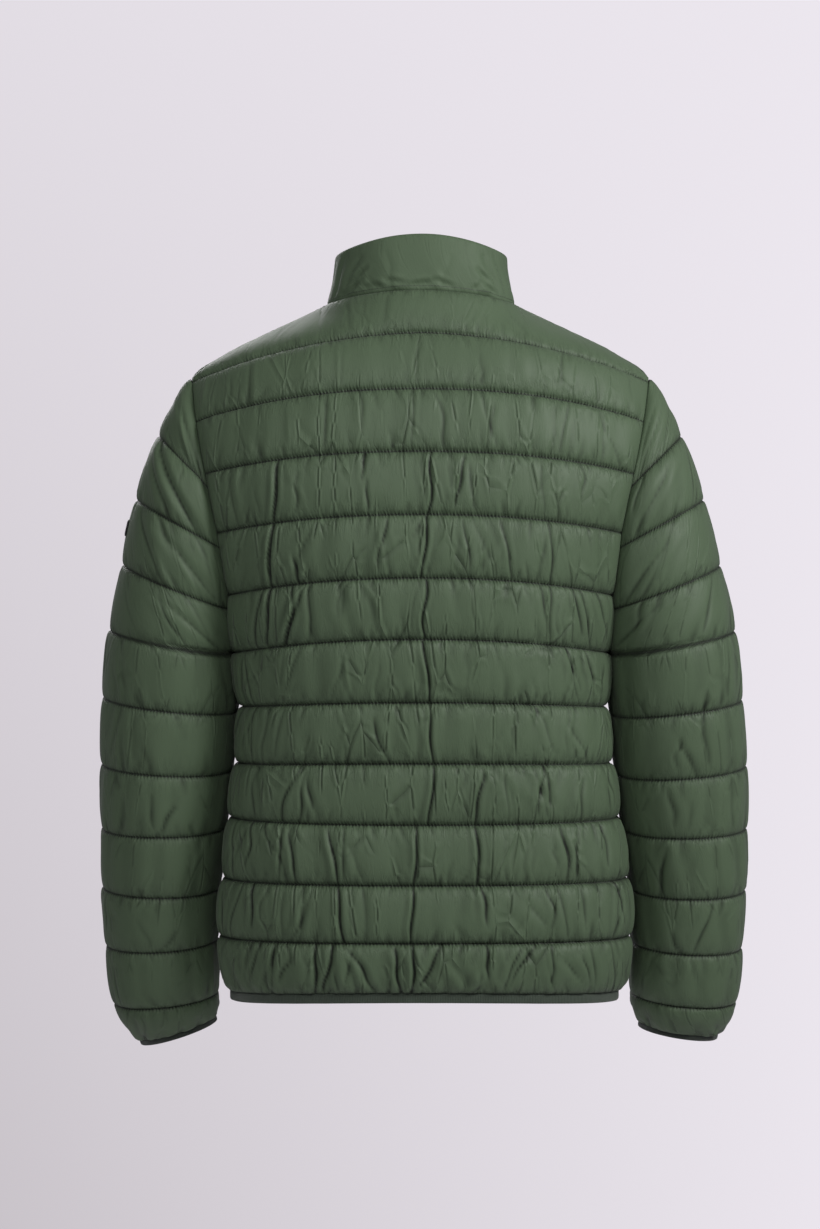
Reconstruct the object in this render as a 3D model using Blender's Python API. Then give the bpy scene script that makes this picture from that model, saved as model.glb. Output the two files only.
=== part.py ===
"""Quilted puffer jacket in its worn shape, zipped up in front, with nobody in it.

Metres, +Z up, the back faces +Y and the front faces -Y, the wearer's left is +X.
The origin is between the shoulders at the neck seam.
"""

import bmesh
import bpy
import numpy as np

# Driving sizes
BODY_WALL = 0.0026  # shell, padding and lining pressed flat at a stitch line
SLEEVE_WALL = 0.0024
COLLAR_WALL = 0.0040
BODY_PUFF = 0.0070  # how far a channel rises over its stitch lines
SLEEVE_PUFF = 0.0050
COLLAR_PUFF = 0.0040
SEAM_GAP = 0.0004  # between two sewn pieces
COLLAR_HEIGHT_BACK = 0.053
NECK_HALF_WIDTH = 0.0935
ZIP_SLOT_HALF = 0.0070  # centre front edge from the middle of the zip
HEM_BINDING_HEIGHT = 0.0100
HEM_BINDING_THICK = 0.0034
CUFF_BINDING_HEIGHT = 0.0060
CUFF_BINDING_THICK = 0.0030
TAPE_THICK = 0.0010
CHAIN_HALF_WIDTH = 0.0029
CHAIN_THICK = 0.0024
PATCH_THICK = 0.0010
PULL_LENGTH = 0.0280

NECK_COLUMN = 5
# Columns from the middle of a panel (0) to its armhole or side seam (1)
SPREAD = [0, 0.09, 0.18, 0.27, 0.36, 0.44, 0.54, 0.64, 0.74, 0.83, 0.90, 0.95, 0.985, 1]
STEPS = [0, 0.25, 0.5, 0.75]  # rows inside one channel
SLEEVE_COLUMNS = 20

# One line a stitch line of the back, from the neck and shoulder seams (first) to the
# hem binding (last), in metres
BACK = {
    "z_mid": [0.004, -0.040, -0.096, -0.157, -0.218, -0.279, -0.338, -0.399, -0.458, -0.517, -0.575, -0.6305, -0.679],
    "y_mid": [0.062, 0.080, 0.103, 0.117, 0.124, 0.126, 0.124, 0.120, 0.118, 0.119, 0.122, 0.124, 0.119],
    "y_edge": [0.0, 0.012, 0.040, 0.058, 0.058, 0.040, 0.004, 0.008, 0.010, 0.010, 0.010, 0.010, 0.010],
}
FRONT = {
    "z_mid": [-0.068, -0.092, -0.130, -0.180, -0.236, -0.294, -0.350, -0.404, -0.460, -0.515, -0.575, -0.631, -0.683],
    "y_mid": [-0.083, -0.092, -0.108, -0.120, -0.127, -0.130, -0.130, -0.129, -0.128, -0.128, -0.128, -0.127, -0.121],
    "y_edge": [0.0, -0.012, -0.036, -0.056, -0.058, -0.040, 0.004, 0.008, 0.010, 0.010, 0.010, 0.010, 0.010],
}
# The armhole and side seam, wearer's left and right, at the same lines
EDGE = {
    "z": [-0.079, -0.083, -0.124, -0.176, -0.234, -0.295, -0.352, -0.405, -0.461, -0.515, -0.575, -0.632, -0.686],
    "x_left": [0.2290, 0.2280, 0.2222, 0.2120, 0.2000, 0.1900, 0.1860, 0.1775, 0.1810, 0.1870, 0.1935, 0.1970, 0.1890],
    "x_right": [0.2270, 0.2265, 0.2195, 0.2085, 0.1965, 0.1888, 0.1855, 0.1815, 0.1860, 0.1930, 0.2020, 0.2045, 0.1960],
}
# How square a section is at each line: 1 - s**swell, to the power 1 / turn
SECTION = {
    "swell": [2.0, 2.6, 2.6, 2.7, 2.7, 2.6, 2.5, 2.4, 2.4, 2.4, 2.4, 2.4, 2.4],
    "turn": [1.0, 1.0, 1.05, 1.1, 1.2, 1.5, 2.2, 2.4, 2.4, 2.4, 2.4, 2.4, 2.4],
}
# The shoulder seam from the neck to the sleeve
SHOULDER = {
    "x": [0.0935, 0.125, 0.152, 0.180, 0.201, 0.220, 0.230],
    "z": [-0.006, -0.022, -0.035, -0.048, -0.060, -0.072, -0.079],
}
# One line a stitch line of a sleeve, from its cap (first) to its cuff (last). The
# inner columns hold from the underarm down; the cap ends on the armhole instead.
SLEEVE_LEFT = {
    "x_out": [0.2298, 0.2610, 0.2830, 0.2970, 0.3105, 0.3180, 0.3200, 0.3202, 0.3200, 0.3170, 0.3095, 0.2850],
    "z_out": [-0.0788, -0.136, -0.200, -0.264, -0.329, -0.396, -0.463, -0.528, -0.588, -0.647, -0.706, -0.744],
    "x_in": [0.190, 0.190, 0.189, 0.188, 0.1860, 0.1845, 0.1900, 0.1965, 0.2035, 0.2060, 0.2060, 0.2085],
    "z_in": [-0.11, -0.17, -0.23, -0.293, -0.352, -0.411, -0.470, -0.528, -0.590, -0.642, -0.696, -0.7205],
    "depth": [0.0125, 0.061, 0.070, 0.074, 0.076, 0.075, 0.073, 0.071, 0.067, 0.062, 0.057, 0.041],
    "y": [0.0, 0.0, -0.002, -0.005, -0.009, -0.015, -0.021, -0.028, -0.035, -0.041, -0.046, -0.048],
    "lean": [0, 0, 0.01, 0.05, 0.07, 0.08, 0.09, 0.09, 0.09, 0.09, 0.09, 0.06],
}
SLEEVE_RIGHT = {
    "x_out": [0.2280, 0.2590, 0.2810, 0.2980, 0.3130, 0.3210, 0.3255, 0.3265, 0.3260, 0.3230, 0.3175, 0.3010],
    "z_out": [-0.0788, -0.1365, -0.200, -0.265, -0.330, -0.399, -0.465, -0.528, -0.591, -0.650, -0.705, -0.738],
    "x_in": [0.184, 0.184, 0.184, 0.183, 0.1855, 0.1900, 0.1965, 0.2030, 0.2110, 0.2130, 0.2130, 0.2215],
    "z_in": [-0.11, -0.17, -0.23, -0.293, -0.352, -0.414, -0.474, -0.530, -0.590, -0.644, -0.696, -0.726],
    "depth": [0.0125, 0.061, 0.070, 0.074, 0.076, 0.075, 0.073, 0.071, 0.067, 0.062, 0.057, 0.041],
    "y": [0.0, 0.0, -0.002, -0.005, -0.009, -0.015, -0.021, -0.028, -0.035, -0.041, -0.046, -0.048],
    "lean": [0, 0, 0.01, 0.05, 0.07, 0.08, 0.09, 0.09, 0.09, 0.09, 0.09, 0.06],
}
# Rows of the body where the first four lines of a sleeve end, counted in steps from
# the neck: the armhole is shared step by step
CAP_ENDS = [4, 13, 17, 21, 24]
UNDERARM_LINE = 4

GREEN = (0.060, 0.085, 0.052, 1)
DARK_GREEN = (0.030, 0.042, 0.030, 1)
BLACK = (0.012, 0.012, 0.013, 1)
METAL = (0.10, 0.10, 0.10, 1)

for old in list(bpy.data.objects):
    bpy.data.objects.remove(old)
jacket = bpy.data.collections.new("puffer_jacket")
bpy.context.scene.collection.children.link(jacket)


def finish(name, mesh_data, colour, rough, metal=0.0):
    """Makes the node from a bmesh, with its own material and its faces turned out."""
    bmesh.ops.recalc_face_normals(mesh_data, faces=mesh_data.faces)
    mesh = bpy.data.meshes.new(name)
    mesh_data.to_mesh(mesh)
    mesh_data.free()
    material = bpy.data.materials.new(name)
    material.use_nodes = True
    shader = material.node_tree.nodes["Principled BSDF"]
    shader.inputs["Base Color"].default_value = colour
    shader.inputs["Roughness"].default_value = rough
    shader.inputs["Metallic"].default_value = metal
    mesh.materials.append(material)
    made = bpy.data.objects.new(name, mesh)
    jacket.objects.link(made)
    return made


def unit(vectors):
    length = np.linalg.norm(vectors, axis=-1, keepdims=True)
    return vectors / np.maximum(length, 1e-12)


def through(lines, at):
    """A smooth curve through the first axis of lines, read at the positions in at."""
    lines = np.asarray(lines, float)
    last = len(lines) - 1
    found = []
    for place in at:
        k = min(int(place), last - 1)
        f = place - k
        a, b, c, d = (lines[min(max(k + o, 0), last)] for o in (-1, 0, 1, 2))
        if k == 0:
            a = 2 * b - c
        if k + 2 > last:
            d = 2 * c - b
        found.append(
            0.5 * (2 * b + (c - a) * f + (2 * a - 5 * b + 4 * c - d) * f**2 + (3 * b - a - 3 * c + d) * f**3)
        )
    return np.array(found)


def channel_lift(rows):
    """Rise over the stitch lines at each row: fuller a little below the middle."""
    f = rows - np.floor(rows)
    return np.where(f < 1e-6, 0, np.sin(np.pi * np.clip(f, 0, 1) ** 0.92) ** 0.7)


# Body panels
BODY_ROWS = np.array([k + f for k in range(12) for f in STEPS] + [12.0])


def body_line(k, table, side, front):
    """Points of one stitch line from the middle of the panel to its edge."""
    s = np.array(SPREAD)
    x_edge = EDGE["x_left" if side > 0 else "x_right"][k]
    x_mid = ZIP_SLOT_HALF if front else 0.0
    if k == 0:
        turn = np.clip(s / s[NECK_COLUMN], 0, 1) * np.pi / 2
        x = x_mid + (NECK_HALF_WIDTH - x_mid) * np.sin(turn)
        run = np.clip((s - s[NECK_COLUMN]) / (1 - s[NECK_COLUMN]), 0, 1)
        x = np.where(s > s[NECK_COLUMN], NECK_HALF_WIDTH + (x_edge - NECK_HALF_WIDTH) * run, x)
        seam_z = np.interp(x, SHOULDER["x"], SHOULDER["z"])
        z_neck, y_neck = SHOULDER["z"][0], -0.004
        fall = np.cos(turn) ** (1.3 if front else 2.0)
        z = np.where(run > 0, seam_z, z_neck + (table["z_mid"][0] - z_neck) * fall)
        y = np.where(run > 0, y_neck * (1 - run), y_neck + (table["y_mid"][0] - y_neck) * np.cos(turn))
        z[-1] = EDGE["z"][0]
    else:
        x = x_mid + (x_edge - x_mid) * s
        shape = (1 - s ** SECTION["swell"][k]) ** (1 / SECTION["turn"][k])
        y = table["y_edge"][k] + (table["y_mid"][k] - table["y_edge"][k]) * shape
        z = table["z_mid"][k] + (EDGE["z"][k] - table["z_mid"][k]) * s ** (1.7 if k == 1 else 2.2)
        if front and k in (1, 2):
            z = z + (0.016 if k == 1 else 0.006) * np.sin(np.pi * s)
    return np.stack([side * x, y, z], axis=-1)


def body_base(table, side, front):
    return through([body_line(k, table, side, front) for k in range(13)], BODY_ROWS)


back_left = body_base(BACK, 1, False)
back_right = body_base(BACK, -1, False)
bases = {
    "back_panel": np.concatenate([back_right[:, ::-1], back_left[:, 1:]], axis=1),
    "front_left": body_base(FRONT, 1, True),
    "front_right": body_base(FRONT, -1, True),
}

# Back and front share one side seam from the underarm down
UNDERARM_ROW = 24
for front, column in (("front_left", -1), ("front_right", 0)):
    back_edge = bases["back_panel"][UNDERARM_ROW:, column]
    front_edge = bases[front][UNDERARM_ROW:, -1]
    seam = (back_edge + front_edge) / 2
    bases["back_panel"][UNDERARM_ROW:, column] = seam
    bases[front][UNDERARM_ROW:, -1] = seam

# Sleeves: cap rows end on the armhole, rings close from the underarm down
SLEEVE_ROWS = []
for k in range(11):
    count = CAP_ENDS[k + 1] - CAP_ENDS[k] if k < UNDERARM_LINE else len(STEPS)
    SLEEVE_ROWS += [k + i / count for i in range(count)]
SLEEVE_ROWS = np.array(SLEEVE_ROWS + [11.0])
CAP_ROWS = CAP_ENDS[UNDERARM_LINE] - CAP_ENDS[0]


def sleeve_base(table, side, back_edge, front_edge):
    """Arcs from the back of the armhole round the arm to its front, then rings."""
    table = {name: through(column, SLEEVE_ROWS) for name, column in table.items()}
    half = SLEEVE_COLUMNS // 2
    rows = []
    for i in range(len(SLEEVE_ROWS)):
        out = np.array([side * table["x_out"][i], table["y"][i], table["z_out"][i]])
        depth, lean, y = table["depth"][i], table["lean"][i], table["y"][i]
        across = np.array([0.0, np.cos(lean), -np.sin(lean)]) * depth
        arcs = []
        for sign, edge in ((1, back_edge), (-1, front_edge)):
            if i < CAP_ROWS:
                end = edge[CAP_ENDS[0] + i]
                reach = min(abs(end[1] - y) / depth, 1.0)
                alpha = np.pi - np.arcsin(reach)
            elif i == CAP_ROWS:
                end, alpha = edge[CAP_ENDS[UNDERARM_LINE]], np.pi
            else:
                end = np.array([side * table["x_in"][i], y, table["z_in"][i]])
                alpha = np.pi
            inward = (out - end) / (1 - np.cos(alpha))
            inward[1] = 0
            turn = alpha * np.arange(half + 1) / half
            arc = out + inward * (np.cos(turn)[:, None] - 1) + sign * across * np.sin(turn)[:, None]
            arc = arc + (end - arc[-1]) * (turn / alpha)[:, None] ** 2
            arcs.append(arc)
        rows.append(np.concatenate([arcs[0][::-1], arcs[1][1:]]))
    return np.array(rows)


left_edge = bases["back_panel"][:, -1]
right_edge = bases["back_panel"][:, 0]
bases["sleeve_left"] = sleeve_base(SLEEVE_LEFT, 1, left_edge, bases["front_left"][:, -1])
bases["sleeve_right"] = sleeve_base(SLEEVE_RIGHT, -1, right_edge, bases["front_right"][:, -1])

# The collar stands on the neck seam, from one side of the zip round to the other
neck = np.concatenate(
    [
        bases["front_right"][0, : NECK_COLUMN + 1],
        bases["back_panel"][0, len(SPREAD) - NECK_COLUMN : len(SPREAD) + NECK_COLUMN - 1],
        bases["front_left"][0, NECK_COLUMN::-1],
    ]
)
COLLAR_STEPS = np.array([0, 0.12, 0.35, 0.6, 0.82, 1.0])
around = np.linspace(-1, 1, len(neck))
angle = np.arctan2(neck[:, 0], neck[:, 1] + 0.012)
top = neck.copy()
top[:, 0] = neck[:, 0] * (1 - 0.105 * np.abs(np.sin(angle)) ** 0.5)
top[:, 1] = neck[:, 1] - 0.008 * np.clip(np.cos(angle), 0, 1)
top[:, 2] = neck[:, 2] + COLLAR_HEIGHT_BACK + 0.003 * np.cos(2 * angle)
top[0, 0], top[-1, 0] = neck[0, 0], neck[-1, 0]
collar = neck + (top - neck) * COLLAR_STEPS[:, None, None]
bow = 0.004 * np.sin(np.pi * COLLAR_STEPS)[:, None]
collar[:, :, 0] -= bow * np.sign(neck[:, 0]) * np.abs(np.sin(angle)) * (np.abs(around) < 0.99)
bases["collar"] = collar


def normals_of(base, centre, wrap):
    """Unit vectors that point out of the jacket at each point of a grid."""
    along = np.gradient(base, axis=0)
    across = np.gradient(base, axis=1)
    if wrap is not None:
        joined = base[wrap:, 1] - base[wrap:, -2]
        across[wrap:, 0] = across[wrap:, -1] = joined
    found = unit(np.cross(along, across))
    out = (found * (base - centre)).sum()
    return found if out > 0 else -found


WRAP = {"sleeve_left": CAP_ROWS, "sleeve_right": CAP_ROWS}
normals = {}
for name, base in bases.items():
    if name in WRAP:
        centre = base.mean(axis=1, keepdims=True)
    elif name == "collar":
        centre = np.array([0, -0.012, 0])
    else:
        centre = base * [0, 0, 0.6] + [0, 0, -0.15]
    normals[name] = normals_of(base, centre, WRAP.get(name))

# Pieces that share a seam point share its direction too, so their walls are mitred
shared = {}
for name, base in bases.items():
    edge = np.ones(base.shape[:2], bool)
    edge[1:-1, 1:-1] = False
    if name == "collar":
        edge[1:] = False
    for i, j in np.argwhere(edge):
        if name in WRAP and i > WRAP[name]:
            continue
        if name in WRAP and i == WRAP[name] and j != 0:
            continue
        shared.setdefault(tuple(np.round(base[i, j], 5)), []).append((name, i, j))
for members in shared.values():
    if len(members) > 1:
        mean = unit(sum(normals[name][i, j] for name, i, j in members))
        for name, i, j in members:
            normals[name][i, j] = mean
for name, tip in (("sleeve_left", ("back_panel", 0, -1)), ("sleeve_right", ("back_panel", 0, 0))):
    whole = normals[tip[0]][tip[1], tip[2]]
    normals[name][0] = whole
    normals[name][WRAP[name], -1] = normals[name][WRAP[name], 0]


bases["collar"] = bases["collar"] + [0, 0, 0.0005]


def drawn_in(base, wrap):
    """The grid with its open edges moved in by half a seam gap."""
    moved = base.copy()
    by = SEAM_GAP / 2
    moved[0] += by * unit(base[1] - base[0])
    moved[-1] += by * unit(base[-2] - base[-1])
    rows = slice(0, len(base) if wrap is None else wrap)
    moved[rows, 0] += by * unit(base[rows, 1] - base[rows, 0])
    moved[rows, -1] += by * unit(base[rows, -2] - base[rows, -1])
    if wrap is not None:
        down = by * unit(base[wrap + 1, 0] - base[wrap, 0])
        moved[wrap, 0] += 2 * down
        moved[wrap, -1] += 2 * down
    return moved


def wall(name, base, normal, lift, thick, kept, wrap, colour, rough):
    """A closed wall: every row outside, only the kept rows inside."""
    count, width = base.shape[:2]
    base = drawn_in(base, wrap)
    outer, inner = base + normal * lift[..., None], base - normal * thick
    made = bmesh.new()
    out, within = {}, {}

    def column_of(i, j):
        return 0 if wrap is not None and i >= wrap and j == width - 1 else j

    for i in range(count):
        for j in range(width):
            if column_of(i, j) == j:
                out[i, j] = made.verts.new(outer[i, j])
                is_edge = j in (0, width - 1) and (wrap is None or i <= wrap)
                if i in kept or is_edge:
                    within[i, j] = made.verts.new(inner[i, j])

    def o(i, j):
        return out[i, column_of(i, j)]

    def n(i, j):
        return within[i, column_of(i, j)]

    for i in range(count - 1):
        for j in range(width - 1):
            made.faces.new((o(i, j), o(i, j + 1), o(i + 1, j + 1), o(i + 1, j)))
        for j in (0, width - 1):
            if wrap is None or i < wrap:
                made.faces.new((o(i, j), o(i + 1, j), n(i + 1, j), n(i, j)))
    for i in (0, count - 1):
        for j in range(width - 1):
            made.faces.new((o(i, j), o(i, j + 1), n(i, j + 1), n(i, j)))
    for a, b in zip(kept[:-1], kept[1:]):
        for j in range(width - 1):
            ring = [n(a, j), n(a, j + 1)]
            opened = wrap is None or a < wrap
            if opened and j + 1 == width - 1:
                ring += [n(i, j + 1) for i in range(a + 1, b)]
            ring += [n(b, j + 1), n(b, j)]
            if opened and j == 0:
                ring += [n(i, j) for i in range(b - 1, a, -1)]
            made.faces.new(ring)
    return finish(name, made, colour, rough), outer, inner


def side_fall(width, near, both=True):
    """1 in the middle of a piece, 0 on its seams."""
    fall = np.ones(width)
    for j, value in enumerate(near):
        fall[width - 1 - j] = value
        if both:
            fall[j] = value
    return fall


body_lift = channel_lift(BODY_ROWS)[:, None] * BODY_PUFF
body_kept = [4 * k for k in range(13)]
wide, narrow = 2 * len(SPREAD) - 1, len(SPREAD)
NEAR_SIDE = [0, 0.42, 0.72, 0.95]
built = {}
built["back_panel"] = wall(
    "back_panel", bases["back_panel"], normals["back_panel"], body_lift * side_fall(wide, NEAR_SIDE), BODY_WALL, body_kept, None, GREEN, 0.5
)
for name in ("front_left", "front_right"):
    fall = side_fall(narrow, NEAR_SIDE, both=False)
    fall[0], fall[1] = 0, 0.8
    built[name] = wall(name, bases[name], normals[name], body_lift * fall, BODY_WALL, body_kept, None, GREEN, 0.5)

sleeve_kept = [int(np.argmin(abs(SLEEVE_ROWS - k))) for k in range(12)]
sleeve_turn = np.linspace(0, 1, SLEEVE_COLUMNS + 1)
for name in ("sleeve_left", "sleeve_right"):
    lift = np.repeat(channel_lift(SLEEVE_ROWS)[:, None], SLEEVE_COLUMNS + 1, axis=1) * SLEEVE_PUFF
    lift[:CAP_ROWS] *= side_fall(SLEEVE_COLUMNS + 1, [0, 0.75, 0.95])
    lift[CAP_ROWS:] *= 1 - 0.62 * np.exp(-((np.minimum(sleeve_turn, 1 - sleeve_turn) / 0.10) ** 2))
    lift *= 1 - 0.40 * np.exp(-(((sleeve_turn - 0.5) / 0.09) ** 2))
    built[name] = wall(name, bases[name], normals[name], lift, SLEEVE_WALL, sleeve_kept, CAP_ROWS, GREEN, 0.5)

collar_lift = COLLAR_PUFF * np.sin(np.pi * np.clip(COLLAR_STEPS * 0.86 + 0.0, 0, 1)) ** 0.6
collar_lift = collar_lift[:, None] * side_fall(len(neck), [0, 0.85])
collar_lift[0] = 0
built["collar"] = wall(
    "collar", bases["collar"], normals["collar"], collar_lift, COLLAR_WALL, list(range(len(COLLAR_STEPS))), None, GREEN, 0.5
)


def band(name, rings, closed, colour, rough, metal=0.0):
    """A strip from a set of sections, each a list of points in the same order."""
    rings = np.asarray(rings)
    count, width = rings.shape[:2]
    made = bmesh.new()
    verts = [[made.verts.new(point) for point in ring] for ring in rings]
    for i in range(count if closed else count - 1):
        a, b = verts[i], verts[(i + 1) % count]
        for j in range(width):
            made.faces.new((a[j], a[(j + 1) % width], b[(j + 1) % width], b[j]))
    if not closed:
        made.faces.new(verts[0])
        made.faces.new(verts[-1])
    return finish(name, made, colour, rough, metal)


def below(edge, normal, down, height, thick, proud):
    """Sections of a binding under an edge."""
    top_out = edge + normal * proud + down * SEAM_GAP
    top_in = top_out - normal * thick
    low_out, low_in = top_out + down * height, top_in + down * height
    mid = down * height * 0.5 + normal * 0.0006
    return np.stack([top_out, top_out + mid, low_out, low_in, top_in], axis=1)


hem = np.concatenate(
    [bases["front_right"][-1, :-1], bases["back_panel"][-1], bases["front_left"][-1, -2::-1]]
)
hem_normal = np.concatenate(
    [normals["front_right"][-1, :-1], normals["back_panel"][-1], normals["front_left"][-1, -2::-1]]
)
hem_normal = unit(hem_normal * [1, 1, 0.0])
hem[0, 0] -= SEAM_GAP / 2
hem[-1, 0] += SEAM_GAP / 2
band(
    "hem_binding",
    below(hem, hem_normal, np.array([0, 0, -1.0]), HEM_BINDING_HEIGHT, HEM_BINDING_THICK, 0.0004),
    False,
    GREEN,
    0.55,
)
for name, sleeve in (("cuff_binding_left", "sleeve_left"), ("cuff_binding_right", "sleeve_right")):
    ring = bases[sleeve][-1, :-1]
    down = unit(np.cross(ring[5] - ring[0], ring[10] - ring[0]))
    down = down * -np.sign(down[2])
    out = unit(ring - ring.mean(axis=0))
    out = unit(out - (out @ down)[:, None] * down)
    band(name, below(ring, out, down, CUFF_BINDING_HEIGHT, CUFF_BINDING_THICK, 0.0003), True, DARK_GREEN, 0.6)

# Zip: tapes behind the front edges, a chain between them
top_z = bases["collar"][-1, 0, 2] - 0.004
line_y = np.concatenate([bases["front_left"][:, 0, 1], bases["collar"][1:, -1, 1]])
line_z = np.concatenate([bases["front_left"][:, 0, 2], bases["collar"][1:, -1, 2]])
order = np.argsort(line_z)
line_y, line_z = line_y[order], line_z[order]
bottom_z = bases["front_left"][-1, 0, 2] - HEM_BINDING_HEIGHT
behind = BODY_WALL + 0.0030


def down_front(start, end, count):
    """Heights down the front edge, and the depth of the tape there."""
    z = np.linspace(start, end, count)
    y = np.interp(z, line_z, line_y)
    slack = np.interp(z, [-0.075, -0.062], [0, COLLAR_WALL - BODY_WALL])
    return z, y + behind + slack


for name, side in (("zip_tape_left", 1), ("zip_tape_right", -1)):
    z, y = down_front(top_z, bottom_z, 30)
    x_in, x_out = side * (CHAIN_HALF_WIDTH + 0.0003), side * 0.0165
    band(
        name,
        [[(x_in, b, a), (x_out, b, a), (x_out, b + TAPE_THICK, a), (x_in, b + TAPE_THICK, a)] for a, b in zip(z, y)],
        False,
        BLACK,
        0.8,
    )
SLIDER_Z = top_z - 0.012
z, y = down_front(SLIDER_Z + 0.001, bottom_z, 30)
w, t = CHAIN_HALF_WIDTH, CHAIN_THICK / 2
mid = y + TAPE_THICK / 2
band("zip_chain", [[(-w, b - t, a), (w, b - t, a), (w, b + t, a), (-w, b + t, a)] for a, b in zip(z, mid)], False, BLACK, 0.5)


def box(made, low, high):
    low, high = np.array(low), np.array(high)
    verts = bmesh.ops.create_cube(made, size=1)["verts"]
    bmesh.ops.scale(made, vec=high - low, verts=verts)
    bmesh.ops.translate(made, vec=(low + high) / 2, verts=verts)


def join(name, boxes, colour, rough, metal):
    """Overlapping boxes made into one body."""
    first = bmesh.new()
    box(first, *boxes[0])
    made = finish(name, first, colour, rough, metal)
    for k, (low, high) in enumerate(boxes[1:]):
        extra = bmesh.new()
        box(extra, low, high)
        mesh = bpy.data.meshes.new(f"{name}_extra_{k}")
        extra.to_mesh(mesh)
        extra.free()
        helper = bpy.data.objects.new(f"{name}_extra_{k}", mesh)
        helper.hide_render = True
        jacket.objects.link(helper)
        union = made.modifiers.new(f"join_{k}", "BOOLEAN")
        union.operation, union.solver, union.object = "UNION", "EXACT", helper
    return made


# The slider holds the top of the chain between two plates
y_mid = float(np.interp(SLIDER_Z, z[::-1], mid[::-1]))
face = y_mid - CHAIN_THICK / 2 - 0.0003
rear = y_mid + CHAIN_THICK / 2 + 0.0003
plate = face - 0.0011
axis_y, axis_z = plate - 0.0014, SLIDER_Z - 0.001
join(
    "zip_slider",
    [
        ((-0.0040, plate, SLIDER_Z - 0.0075), (0.0040, face, SLIDER_Z + 0.0045)),
        ((-0.0040, rear, SLIDER_Z - 0.0075), (0.0040, rear + 0.0010, SLIDER_Z + 0.0045)),
        ((-0.0018, plate + 0.0003, SLIDER_Z + 0.0014), (0.0018, rear + 0.0007, SLIDER_Z + 0.0042)),
        ((-0.0009, plate - 0.0036, axis_z + 0.0021), (0.0009, plate + 0.0004, axis_z + 0.0036)),
        ((-0.0009, plate - 0.0036, axis_z - 0.0036), (0.0009, plate + 0.0004, axis_z - 0.0021)),
        ((-0.00085, plate - 0.0040, axis_z - 0.0034), (0.00085, plate - 0.0027, axis_z + 0.0034)),
    ],
    METAL,
    0.35,
    1.0,
)

# The pull tab hangs from a bar under the slider's bridge, about X
half = 0.0007
pull = join(
    "zip_pull_tab",
    [
        ((-0.0030, -half - 0.0001, -half), (0.0030, half + 0.0001, half)),
        ((-0.0031, -half, -0.0070), (-0.0016, half, half + 0.0001)),
        ((0.0016, -half, -0.0070), (0.0031, half, half + 0.0001)),
        ((-0.0035, -half + 0.00005, -PULL_LENGTH), (0.0035, half - 0.00005, -0.0055)),
    ],
    METAL,
    0.35,
    1.0,
)
pull.location = (0, axis_y, axis_z)
bpy.context.view_layer.update()
for child in jacket.objects:
    if child.name.startswith("zip_pull_tab_extra"):
        child.location = pull.location

# A plain badge lies over the outer side of the wearer's left sleeve
outer = built["sleeve_left"][1]
normal = normals["sleeve_left"]
first = int(np.argmin(abs(SLEEVE_ROWS - 2.25)))
mid_column = SLEEVE_COLUMNS // 2
grid, turned = [], []
for low, part in ((first, 0.0), (first + 1, 0.0), (first + 1, 0.2)):
    columns = range(mid_column - 1, mid_column + 2)
    grid.append([outer[low, j] * (1 - part) + outer[low + 1, j] * part for j in columns])
    turned.append([normal[low, j] * (1 - part) + normal[low + 1, j] * part for j in columns])
grid, turned = np.array(grid), unit(np.array(turned))
low_side, high_side = grid + turned * 0.0005, grid + turned * (0.0005 + PATCH_THICK)
made = bmesh.new()
v = {(layer, i, j): made.verts.new(side[i, j]) for layer, side in enumerate((low_side, high_side)) for i in range(3) for j in range(3)}
for layer in (0, 1):
    for i in range(2):
        for j in range(2):
            made.faces.new((v[layer, i, j], v[layer, i, j + 1], v[layer, i + 1, j + 1], v[layer, i + 1, j]))
rim = [(0, 0), (0, 1), (0, 2), (1, 2), (2, 2), (2, 1), (2, 0), (1, 0)]
for a, b in zip(rim, rim[1:] + rim[:1]):
    made.faces.new((v[0, *a], v[0, *b], v[1, *b], v[1, *a]))
finish("sleeve_patch", made, BLACK, 0.5)
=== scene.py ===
import bmesh
import bpy
import numpy as np
from mathutils import Matrix, Vector


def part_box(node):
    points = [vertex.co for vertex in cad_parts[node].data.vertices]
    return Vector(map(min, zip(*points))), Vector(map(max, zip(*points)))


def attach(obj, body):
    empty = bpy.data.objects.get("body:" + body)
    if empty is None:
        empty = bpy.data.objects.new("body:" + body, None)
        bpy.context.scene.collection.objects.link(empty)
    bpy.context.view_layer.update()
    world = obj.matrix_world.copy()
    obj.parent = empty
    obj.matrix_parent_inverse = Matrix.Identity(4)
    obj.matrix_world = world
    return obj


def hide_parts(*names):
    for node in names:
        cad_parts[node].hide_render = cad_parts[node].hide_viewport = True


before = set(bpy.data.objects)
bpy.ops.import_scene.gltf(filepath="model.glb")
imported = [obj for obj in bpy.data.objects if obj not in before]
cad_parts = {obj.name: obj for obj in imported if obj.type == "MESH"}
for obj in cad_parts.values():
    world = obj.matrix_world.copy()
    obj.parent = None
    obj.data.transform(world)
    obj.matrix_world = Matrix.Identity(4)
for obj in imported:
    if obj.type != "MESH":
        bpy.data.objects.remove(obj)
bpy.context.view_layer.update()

# --------------------------------------------------------------------------------
# Back panel
# One width of satin nylon over light padding, sewn down along eleven lines into
# twelve channels. The thread gathers the cloth, so every line has puckers, and long
# pressed creases run across the channels.

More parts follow.
